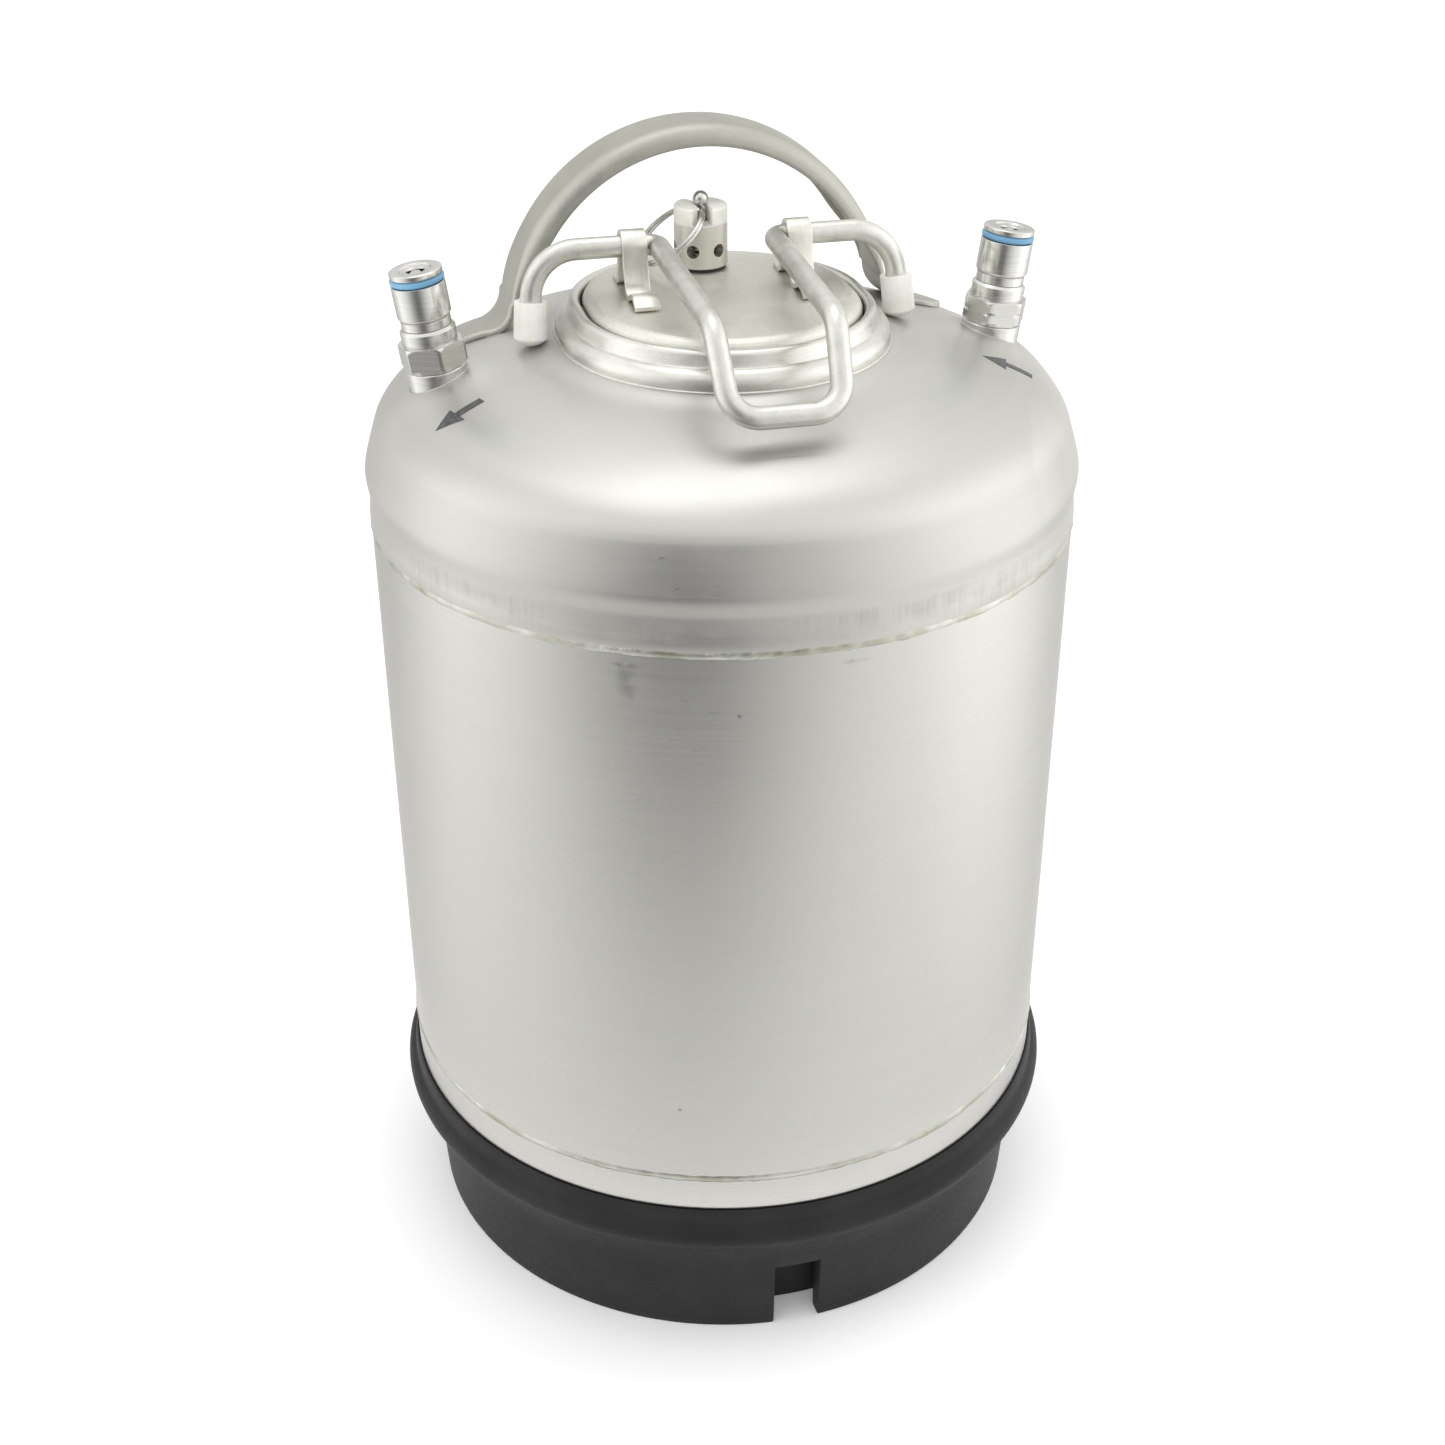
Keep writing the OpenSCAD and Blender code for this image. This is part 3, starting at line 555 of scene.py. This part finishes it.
def top_rows(t):
    """Rows of the top, moved in by t, from the upper weld over the shoulder to the hatch's neck."""
    columns, steps, first_step = 256, 56, 8
    band = [(BODY_R, HIGH_WELD_Z), (BODY_R + 0.25, HIGH_WELD_Z + 1.8), (BODY_R + 0.25, 255.2),
            (BODY_R - 0.1, 257.0), (BODY_R - 0.15, 261.8), (BODY_R + 0.05, 263.4), (BODY_R + 0.6, 266.4),
            (BODY_R + 0.6, 268.4), (BODY_R - 0.35, 272.0), (DOME_R + 0.3, 276.4), (DOME_R - 0.8, 279.8)]
    rows = []
    for r, z in soften(band, 3):
        row = []
        for j in range(columns):
            a = 2 * math.pi * j / columns
            out = dent(r, z, a) * min(1.0, (z - HIGH_WELD_Z) / 3)
            row.append(((r - t + out) * math.cos(a), (r - t + out) * math.sin(a), z))
        rows.append(row)
    for i in range(first_step, steps + 1):
        share = math.cos(math.pi / 2 * i / steps)
        row = []
        for j in range(columns):
            a = 2 * math.pi * j / columns
            r_in = oval_radius(NECK_R - NECK_WALL, a)
            r = r_in + (DOME_R - t - r_in) * share
            x, y = r * math.cos(a), r * math.sin(a)
            lift = 0.12 * wobble(x, y, 0, 45, 1.3) * min(1.0, (1 - share) * 4)
            lift += rise_to_neck(r - r_in) + rise_to_post(x, y)
            row.append((x, y, crown(r, t) + lift))
        rows.append(row)
    return rows


top = loft("upper_end", top_rows(0.0) + top_rows(WALL)[::-1], loop=True)
piece(top, "dome_steel", "keg", "top_dome")


def bead(name, z0, seed):
    """A weld bead with overlapping ripples and an uneven edge."""
    columns, pitch, sunk = 1500, 1.1, 0.25
    rows = []
    for k in range(11):
        u = -1 + 2 * k / 10
        row = []
        for j in range(columns):
            a = 2 * math.pi * j / columns
            x, y = BODY_R * math.cos(a), BODY_R * math.sin(a)
            width = 1.5 + 0.30 * wobble(x, y, seed, 6, seed) + 0.25 * wobble(x, y, seed, 1.9, seed + 5)
            drift = 0.35 * wobble(x, y, seed, 17, seed + 9)
            ripple = 0.5 + 0.5 * math.sin(BODY_R * a / pitch + 1.4 * u * u + 2 * wobble(x, y, 0, 8, seed))
            rise = (1 - u * u) * (0.50 + 0.13 * ripple + 0.14 * wobble(x, y, seed, 3, seed + 2))
            r = BODY_R - sunk + rise
            row.append((r * math.cos(a), r * math.sin(a), z0 + drift + u * width))
        rows.append(row)
    # the back lies inside the wall, where it closes the bead
    back = [[(0.9925 * x, 0.9925 * y, z) for x, y, z in rows[k]] for k in (10, 0)]
    return loft(name, rows + back, loop=True, sharp=60)


piece(bead("upper_weld", HIGH_WELD_Z, 2.5), "weld_steel", "keg", "top_weld_bead")
piece(bead("lower_weld", LOW_WELD_Z, 6.5), "weld_steel", "keg", "bottom_weld_bead")

# ------------------------------------------------------------------ hatch neck
neck = ([(NECK_R - 0.2, 302.6), (NECK_R + 0.1, 304.0)]
        + arc(NECK_R - 4.3, LIP_Z - 8.7, 4.3, 0, 80, 14)
        + [(NECK_R - 4.0, LIP_Z - 3.5)]
        + arc(MOUTH_R + 1.7, LIP_Z - 1.7, 1.7, 15, 175, 12)
        + [(MOUTH_R, LIP_Z - 5.1), (MOUTH_R + 3.8, LIP_Z - 5.2), (MOUTH_R + 5.4, LIP_Z - 7.6),
           (MOUTH_R + 5.8, 302.4)])
piece(oval_sweep("hatch_neck", fillet(neck, 0.6), steps=96, sharp=50), "neck_steel", "keg", "neck_ring")


def neck_bead():
    """The fine weld where the neck stands on the top."""
    columns = 760
    path = []
    for j in range(columns):
        a = 2 * math.pi * j / columns
        r = oval_radius(NECK_R + 0.15, a)
        path.append((r * math.cos(a), r * math.sin(a), crown(r) + NECK_RISE))
    rows = []
    for k in range(8):
        u = 2 * math.pi * k / 8
        row = []
        for x, y, z in path:
            size = 0.55 + 0.12 * wobble(x, y, 0, 2.2, 4.4) + 0.10 * wobble(x, y, 0, 9, 1.4)
            a = math.atan2(y, x)
            r = math.hypot(x, y) + size * math.cos(u)
            row.append((r * math.cos(a), r * math.sin(a), z + 0.75 * size * math.sin(u)))
        rows.append(row)
    return loft("neck_weld", rows, loop=True, sharp=70)


piece(neck_bead(), "neck_steel", "keg")


# ------------------------------------------------------------------ boot
def boot():
    """The moulded boot: an outline turned round the axis, with three drain notches left open."""
    outer = ([(102.0, 0.9), (102.15, 3), (102.6, 10), (103.2, 18), (103.7, NOTCH_Z), (104.0, 30.5),
              (105.2, 34.8), (107.4, 38.5)] + arc(107.3, 46.0, 5.0, -62, 62, 12)
             + [(109.45, 53.5), (109.15, 55.4), (108.75, 56.4), (108.35, 56.7)])
    inner = [(108.15, 56.3), (108.1, 50.0), (107.6, 46.5), (106.0, 41.5), (103.2, 37.6), (97.4, 34.0),
             (96.5, 30), (96.5, NOTCH_Z), (96.5, 18), (96.5, 10), (96.5, 3), (96.5, 0.9)]
    foot = [(97.0, 0.25), (97.7, 0.0), (101.0, 0.0), (101.7, 0.25)]
    outline = outer + inner + foot
    rows = len(outline)
    half = math.degrees(NOTCH_W / 2 / outer[0][0])
    margin = 1e-3

    # columns close together in the notches, and at both sides of each
    angles = set()
    for mid in NOTCH_ANGLES:
        angles |= {mid + half + (120 - 2 * half) * k / 72 for k in range(73)}
        angles |= {mid - half + 2 * half * k / 6 for k in range(7)}
    angles = sorted({round(a % 360, 4) for a in angles})
    count = len(angles)
    points = [(r * math.cos(math.radians(a)), r * math.sin(math.radians(a)), z)
              for a in angles for r, z in outline]

    def in_notch(j):
        """Whether the gap between column j and the next lies in a notch."""
        middle = angles[j] + ((angles[(j + 1) % count] - angles[j]) % 360) / 2
        return any(abs((middle - mid + 180) % 360 - 180) < half - margin for mid in NOTCH_ANGLES)

    low = [i for i, (r, z) in enumerate(outline) if z <= NOTCH_Z]
    out_low = [i for i in low if i < len(outer)]
    in_low = [i for i in low if len(outer) <= i < len(outer) + len(inner)][::-1]
    faces = []
    for j in range(count):
        k = (j + 1) % count
        cut = in_notch(j)
        for i in range(rows):
            m = (i + 1) % rows
            if not (cut and i in low and m in low):
                faces.append([j * rows + i, j * rows + m, k * rows + m, k * rows + i])
        if cut:
            # the roof of the notch, from the outer wall to the inner one
            faces.append([j * rows + out_low[-1], k * rows + out_low[-1],
                          k * rows + in_low[-1], j * rows + in_low[-1]])
    for j in range(count):
        if in_notch(j - 1) != in_notch(j):
            # the side of the notch, as strips between the outer and the inner wall
            for (a, b), (c, d) in zip(zip(out_low, out_low[1:]), zip(in_low, in_low[1:])):
                faces.append([j * rows + a, j * rows + b, j * rows + d, j * rows + c])
            foot_ring = [out_low[0], in_low[0]] + list(range(len(outer) + len(inner), rows))
            faces.append([j * rows + i for i in foot_ring])
    return make("boot", points, faces, 35)


boot_obj = boot()
bevel(boot_obj, 0.45, 2, 50)
piece(boot_obj, "boot_rubber", "keg", "rubber_boot")

# a dark rubber wall inside the boot that stands in for shade: it shows dark through the drain notches,
# where the cavity behind them is in shade
shade_wall = [(89.6, 0.8), (91.2, 0.8), (91.4, 27.5), (96.7, 29.0), (96.7, 32.0), (89.6, 30.0)]
piece(lathe("boot_shade_wall", fillet(shade_wall, 0.4, 3), 128), "boot_rubber", "keg")


# ------------------------------------------------------------------ handle
def strap_section(depth):
    """Outline of the strip as (across, inward), closed, with its flanges turned in by depth."""
    edge, steps = HANDLE_W / 2, [math.radians(15 * k) for k in range(7)]
    r = min(5.0, max(0.9, depth * 0.8))
    inner_r = max(0.3, r - HANDLE_T)
    d = max(depth, HANDLE_T)
    half = [(0.0, 0.0), (edge * 0.5, 0.0)]
    half += [(edge - r + r * math.sin(t), r - r * math.cos(t)) for t in steps]
    half += [(edge, max(r + 0.01, d - 0.3)), (edge - 0.3, d + 0.0001),
             (edge - HANDLE_T + 0.3, d + 0.0001), (edge - HANDLE_T, max(r + 0.005, d - 0.3))]
    half += [(edge - HANDLE_T - inner_r + inner_r * math.cos(t),
              min(d, HANDLE_T + inner_r - inner_r * math.sin(t))) for t in steps]
    half += [(edge * 0.5, HANDLE_T), (0.0, HANDLE_T)]
    return half + [(-across, inward) for across, inward in half[::-1]][1:-1]


def strap_row(x, z, inward, depth, follow=0.0, width=1.0):
    """The strip's section at a point of its outer face. follow makes it lie along the curved top."""
    row = []
    for across, d in strap_section(depth):
        y = HANDLE_Y + across * width
        px, pz = x + inward[0] * d, z + inward[1] * d
        if follow:
            pz += follow * (crown(math.hypot(x, y)) - crown(math.hypot(x, HANDLE_Y)))
        row.append((px, y, pz))
    return row


def strap():
    """A channel-section strap: an arch whose legs turn out into feet that lie on the top."""
    bend_x = HANDLE_R + FOOT_BEND
    base = crown(math.hypot(bend_x, HANDLE_Y)) + HANDLE_T
    foot = []
    for i in range(10):
        x = -FOOT_TIP_X + (FOOT_TIP_X - bend_x) * i / 9
        tip = max(0.0, (-FOOT_ROUND_X - x) / (FOOT_TIP_X - FOOT_ROUND_X))
        width = math.sqrt(1 - tip ** 2 * 0.86)
        z = crown(math.hypot(x, HANDLE_Y)) + HANDLE_T
        foot.append(strap_row(x, z, (0, -1), HANDLE_T, 1.0, width))
    for i in range(1, 13):
        t = math.radians(90 * i / 12)
        foot.append(strap_row(-bend_x + FOOT_BEND * math.sin(t), base + FOOT_BEND * (1 - math.cos(t)),
                              (math.sin(t), -math.cos(t)), HANDLE_T, 1 - i / 12))
    start = math.degrees(math.asin((base + FOOT_BEND + 1.0 - HANDLE_Z) / HANDLE_R))
    arch = []
    steps, flange_steps = 96, 14
    for i in range(steps + 1):
        a = math.radians(180 - start - (180 - 2 * start) * i / steps)
        grow = min(1.0, min(i, steps - i) / flange_steps)
        depth = HANDLE_T + (FLANGE - HANDLE_T) * grow * grow * (3 - 2 * grow)
        arch.append(strap_row(HANDLE_R * math.cos(a), HANDLE_Z + HANDLE_R * math.sin(a),
                              (-math.cos(a), -math.sin(a)), depth))
    mirrored = [[(-x, y, z) for x, y, z in row] for row in foot][::-1]
    return loft("handle_strap", foot + arch + mirrored, caps=True, sharp=50)


piece(strap(), "handle_steel", "keg", "strap_handle")


# ------------------------------------------------------------------ posts
def at_post(side):
    """The place and tilt of a post, in millimetres."""
    return (Matrix.Translation(Vector((side * POST_X, 0, POST_Z)))
            @ Matrix.Rotation(math.radians(side * POST_TILT), 4, "Y"))


def place_at_post(obj, side):
    """Moves a mesh that stands upright at the origin to a post."""
    matrix = at_post(side)
    obj.data.transform(Matrix.Translation(matrix.to_translation() * MM) @ matrix.to_3x3().to_4x4())
    return obj


def post(side, name):
    """Hexagon, locking groove, barrel, seal groove and cap, with the valve's opening in the top."""
    hexagon = [(7.3, HEX_LOW), (8.75, HEX_LOW), (9.0, HEX_LOW)]
    hexagon += [(10.11, 4.5 + (HEX_HIGH - 4.5) * i / 24) for i in range(1, 25)]
    above = [(8.05, 11.45), (8.15, 15.2), (7.0, 16.4), (6.9, 18.2), (BARREL_R, 19.6), (BARREL_R, 28.95),
             (5.9, 29.0), (5.9, 31.2), (7.7, 31.25), (7.7, POST_H - 0.25), (7.2, POST_H), (4.75, POST_H),
             (4.4, POST_H - 0.5), (2.75, POST_H - 0.6), (2.6, POST_H - 1.0), (2.6, 30.4), (2.6, 29.0),
             (7.3, 27.0)]
    columns, sixth = 96, math.pi / 3
    turns = [2 * math.pi * j / columns for j in range(columns)]
    turn = math.radians(LIQUID_HEX_TURN) if side < 0 else 0.0
    rows = []
    for r, z in hexagon:
        # the corners are turned off at both ends, and a gas post has a groove round its corners
        limit = 9.45 + (z - HEX_LOW) * 0.55 if z < 5.6 else HEX_CORNER_R
        limit = min(limit, HEX_CORNER_R - max(0.0, z - 10.6) * 0.75)
        from_groove = abs(z - GAS_GROOVE_Z)
        if side > 0 and from_groove < GAS_GROOVE_R:
            limit = min(limit, GAS_GROOVE_AT - math.sqrt(GAS_GROOVE_R ** 2 - from_groove ** 2))
        row = []
        for a in turns:
            flat = HEX_AF / 2 / math.cos((a - turn) % sixth - sixth / 2)
            reach = min(flat, limit, r)
            row.append((reach * math.cos(a), reach * math.sin(a), z))
        rows.append(row)
    for r, z in fillet(above, 0.22, 3, closed=False):
        rows.append([(r * math.cos(a), r * math.sin(a), z) for a in turns])
    return place_at_post(loft(name, rows, loop=True, sharp=28), side)


def plug(side, name):
    """The plug in the top, with its threaded spigot."""
    bore, spigot = 4.1, 7.2
    outline = [(bore, -6), (PLUG_R, -6), (PLUG_R, 3.35), (PLUG_R - 0.4, 3.8), (spigot, 3.8),
               (spigot, 9.6), (bore, 9.6)]
    return place_at_post(lathe(name, fillet(outline, 0.2, 3), 96), side)


def plug_weld(side, name):
    """A small weld where the plug stands on the top."""
    columns = 240
    matrix = at_post(side)
    rows = []
    for k in range(8):
        u = 2 * math.pi * k / 8
        row = []
        for j in range(columns):
            a = 2 * math.pi * j / columns
            foot = matrix @ Vector((PLUG_R * math.cos(a), PLUG_R * math.sin(a), 0))
            lift = crown(math.hypot(foot.x, foot.y)) + rise_to_post(foot.x, foot.y) - foot.z
            size = 0.4 + 0.08 * wobble(foot.x, foot.y, 0, 2.0, side * 3)
            r = PLUG_R - 0.05 + size * math.cos(u)
            row.append(matrix @ Vector((r * math.cos(a), r * math.sin(a),
                                        lift + 0.55 * size * math.sin(u))))
        rows.append(row)
    return loft(name, rows, loop=True, sharp=70)


for side, word in ((-1, "liquid"), (1, "gas")):
    piece(post(side, word + "_post_body"), "post_steel", "keg", word + "_post")
    piece(plug(side, word + "_plug_body"), "post_steel", "keg", word + "_post_plug")
    piece(plug_weld(side, word + "_plug_weld"), "weld_steel", "keg")


# ------------------------------------------------------------------ springs
def spring(name, coil_r, wire_r, low, high, turns):
    """A coil of wire between two heights, upright on the Z axis."""
    per_turn = 24
    steps = turns * per_turn
    path = []
    for i in range(steps + 1):
        a = 2 * math.pi * i / per_turn
        path.append(Vector((coil_r * math.cos(a), coil_r * math.sin(a),
                            low + wire_r + (high - low - 2 * wire_r) * i / steps)))
    return tube(name, path, wire_r, 10)


for side, word in ((-1, "liquid"), (1, "gas")):
    coil = spring(word + "_coil", POST_COIL_R, POST_WIRE_R, POST_SPRING_LOW, POST_SPRING_HIGH, POST_TURNS)
    piece(place_at_post(coil, side), "spring_steel", "keg", word + "_spring")
    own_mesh(coil)

relief_coil = spring("relief_coil", RELIEF_COIL_R, RELIEF_WIRE_R, RELIEF_LOW, RELIEF_HIGH, RELIEF_TURNS)
relief_coil.data.transform(Matrix.Translation(Vector((0, PRV_Y, 0)) * MM))
piece(relief_coil, "spring_steel", "lid", "prv_spring")
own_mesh(relief_coil)


# ------------------------------------------------------------------ bail
def on_leg(x, d):
    """The point of the bail's leaning leg plane at x, d down from its axis."""
    lean = math.radians(LEG_LEAN)
    return Vector((x, BAIL_Y - d * math.sin(lean), BAIL_Z - d * math.cos(lean)))


elbow_x = FOOT_X - LEG_LEN * math.tan(math.radians(LEG_SPLAY))
leg_dir = (on_leg(FOOT_X, LEG_LEN) - on_leg(elbow_x, 0)).normalized()
inside_foot = 1.8
half_path = [on_leg(FOOT_X, LEG_LEN) - inside_foot * leg_dir, on_leg(elbow_x, 0),
             Vector((ARM_X, BAIL_Y, BAIL_Z)), Vector((ARM_X - 0.6, ARM_BEND_Y, ARM_BEND_Z)),
             Vector((ARM_X - 2, BAR_Y, BAR_Z))]
full_path = half_path + [Vector((-p.x, p.y, p.z)) for p in reversed(half_path)]
half_bends = [14, 4, 10, 9]
bail = tube("bail_rod", wire_path(full_path, half_bends + half_bends[::-1], 4.0), BAIL_R, 32)
piece(bail, "bail_steel", "bail", "bail_wire")


# ------------------------------------------------------------------ brackets
def bracket(name, x):
    """A bent strap over the bail: a leg, a trough and a hump in front, and a curled foot behind."""
    mid = BAIL_R + BRACKET_GAP + BRACKET_T / 2
    front_y, back_y = BAIL_Y - mid, BAIL_Y + mid
    plate = LID_Z + BRACKET_T / 2
    front = ([(front_y - 0.6, BAIL_Z - 5), (front_y - 2, plate + 4)]
             + arc(front_y - 6.2, plate + 3.6, 3.6, -10, -90, 10)
             + arc(front_y - 12.5, plate - 3, 5.2, 60, 130, 10)
             + [(front_y - 18, plate + 0.1)])
    back = ([(back_y + 0.4, BAIL_Z - 5), (back_y + 1.2, plate + 3)]
            + arc(back_y + 4, plate + 2.4, 2.4, 190, 270, 8) + [(back_y + 9, plate)])
    over = arc(BAIL_Y, BAIL_Z, mid, 180, 0, 24)
    line = [Vector(p) for p in front[::-1] + over + back]
    rows = []
    for i, p in enumerate(line):
        heading = (line[min(i + 1, len(line) - 1)] - line[max(i - 1, 0)]).normalized()
        out = Vector((-heading.y, heading.x)) * BRACKET_T / 2
        rows.append([(x + across * BRACKET_W, *(p + out * face))
                     for across, face in ((-0.5, 1), (0.5, 1), (0.5, -1), (-0.5, -1))])
    return bevel(loft(name, rows, caps=True, sharp=50), 0.35, 3, 60)


piece(bracket("bracket_left", -BRACKET_X), "bracket_steel", "lid", "left_bracket")
piece(bracket("bracket_right", BRACKET_X), "bracket_steel", "lid", "right_bracket")


# ------------------------------------------------------------------ pull ring
def split_ring():
    """Two turns of wire that lie on each other, joined by a short step."""
    steps, start_angle, step_at, step_share = 150, 0.9, 0.42, 0.16
    path = []
    for i in range(steps + 1):
        t = i / steps
        a = 4 * math.pi * t + start_angle
        lift = RING_WIRE_R * (-1 + 2 * min(1.0, max(0.0, (t - step_at) / step_share)))
        path.append(Vector((RING_R * math.cos(a), RING_R * math.sin(a), lift)))
    obj = tube("split_ring", path, RING_WIRE_R, 12)
    turn = (Matrix.Rotation(math.radians(-RING_SLOPE), 4, "Y")
            @ Matrix.Rotation(math.radians(RING_LEAN), 4, "X"))
    place = (Matrix.Translation(Vector((0, PRV_Y, EYE_Z)) * MM) @ turn
             @ Matrix.Translation(Vector((-RING_R, 0, 0)) * MM))
    obj.data.transform(place)
    return obj


piece(split_ring(), "post_steel", "prv_ring", "pull_ring")


# ------------------------------------------------------------------ camera, floor and light
CAMERA_PLACE = Vector((-0.135766, -0.568301, 0.500317))
CAMERA_HEADING = Vector((0.20229, 0.846863, -0.491835))
CAMERA_ROLL, CAMERA_LENS = -0.152, 50.46


def camera():
    """The scene's camera, above the front and a little to the left of it."""
    data = bpy.data.cameras.new("camera")
    data.sensor_width, data.lens = 36.0, CAMERA_LENS
    data.clip_start, data.clip_end = 0.01, 100
    cam = bpy.data.objects.new("camera", data)
    scene.collection.objects.link(cam)
    forward = CAMERA_HEADING.normalized()
    level = forward.cross(Vector((0, 0, 1))).normalized()
    up = level.cross(forward)
    roll = math.radians(CAMERA_ROLL)
    right = level * math.cos(roll) + up * math.sin(roll)
    up = right.cross(forward)
    turn = Matrix((right, up, -forward)).transposed().to_4x4()
    cam.matrix_world = Matrix.Translation(CAMERA_PLACE) @ turn
    scene.camera = cam


def area_light(name, place, target, size, power, tall=None):
    """A soft box that faces target. Without tall it is square."""
    data = bpy.data.lights.new(name, "AREA")
    data.shape = "RECTANGLE"
    data.size, data.size_y = size, tall or size
    data.energy = power
    obj = bpy.data.objects.new(name, data)
    scene.collection.objects.link(obj)
    obj.location = place
    obj.rotation_euler = (Vector(target) - Vector(place)).to_track_quat("-Z", "Y").to_euler()


def floor():
    """A plain white floor with a faint glow, which keeps the contact shadow light."""
    mesh = bpy.data.meshes.new("floor")
    mesh.from_pydata([(-8, -8, 0), (8, -8, 0), (8, 8, 0), (-8, 8, 0)], [], [[0, 1, 2, 3]])
    obj = bpy.data.objects.new("floor", mesh)
    scene.collection.objects.link(obj)
    n = Nodes("floor")
    for socket, value in (("Base Color", (0.985, 0.985, 0.985, 1)), ("Roughness", 0.9),
                          ("Specular IOR Level", 0.1), ("Emission Color", (1, 1, 1, 1)),
                          ("Emission Strength", 0.10)):
        n.shader.inputs[socket].default_value = value
    mesh.materials.append(n.material)


# how bright the tent round the keg is, by direction from the camera in degrees, right positive
TENT = [(-180, 0.84), (-125, 0.78), (-108, 0.98), (-90, 1.42), (-72, 1.24), (-50, 0.86), (-34, 0.46),
        (-19, 0.17), (-9, 0.12), (-2, 0.17), (11, 0.45), (26, 0.78), (42, 1.06), (58, 1.20), (78, 1.64),
        (97, 1.60), (123, 1.02), (150, 0.84), (180, 0.84)]
TENT_PEAK = 1.8
TENT_R, TENT_Z = 0.78, 1.3


def light_tent():
    """A soft tent round the keg that only reflections see, dim at the camera and bright at its sides."""
    rings = [(r, 0.004) for r in (0.17, 0.3, 0.5, TENT_R)] + [(TENT_R, z) for z in (0.4, 0.75, TENT_Z)]
    rows = [[(radius / MM * math.cos(math.radians(5 * k)), radius / MM * math.sin(math.radians(5 * k)),
              height / MM) for k in range(72)] for radius, height in rings]
    tent = loft("light_tent", rows)
    n = Nodes("light_tent")
    x, y, z, radius = n.position()
    from_camera = math.pi - math.atan2(CAMERA_PLACE.y, CAMERA_PLACE.x)
    turned = n.math("DIVIDE", n.math("ADD", n.math("ARCTAN2", y, x), from_camera), 2 * math.pi)
    ramp = n.add("ValToRGB", {"Fac": n.math("FRACT", turned)})
    stops = ramp.color_ramp.elements
    for i, (angle, level) in enumerate(TENT):
        place = (angle + 180) / 360
        stop = stops[0] if i == 0 else stops[-1] if i == len(TENT) - 1 else stops.new(place)
        stop.position, stop.color = place, (level / TENT_PEAK,) * 3 + (1,)
    level = n.math("MULTIPLY", ramp.outputs[0], TENT_PEAK)
    # evens out towards white on the floor near the keg, and towards a bright ceiling at the top
    near = n.ramp(radius, 0.2, 0.62, 0.86, 0.08)
    level = n.total(level, n.math("MULTIPLY", near, n.math("SUBTRACT", 1.0, level)))
    level = n.math("MULTIPLY", level, n.ramp(z, 0.32, 0.6, 1.0, 1.12))
    high = n.ramp(z, 0.50, 1.2, 0.0, 0.92)
    level = n.total(level, n.math("MULTIPLY", high, n.math("SUBTRACT", 1.15, level)))
    glow = n.add("Emission", {"Color": (1, 1, 0.985, 1), "Strength": level})
    n.plug(glow.outputs[0], n.tree.nodes["Material Output"].inputs["Surface"])
    tent.data.materials.append(n.material)
    for kind in ("camera", "diffuse", "shadow", "transmission", "volume_scatter"):
        setattr(tent, "visible_" + kind, False)


camera()
floor()
light_tent()

world = bpy.data.worlds.new("studio")
scene.world = world
world.use_nodes = True
background = world.node_tree.nodes["Background"]
background.inputs["Color"].default_value = (1, 1, 1, 1)
background.inputs["Strength"].default_value = 1.06
area_light("left_box", (-1.25, -0.35, 0.55), (0, 0, 0.2), 1.0, 4.6)
area_light("right_box", (1.25, 0.25, 0.55), (0, 0, 0.2), 1.0, 5.4)
area_light("top_box", (-0.06, 0.14, 1.45), (0, 0, 0.3), 1.0, 2.0, tall=0.62)
scene.view_settings.view_transform = "Standard"
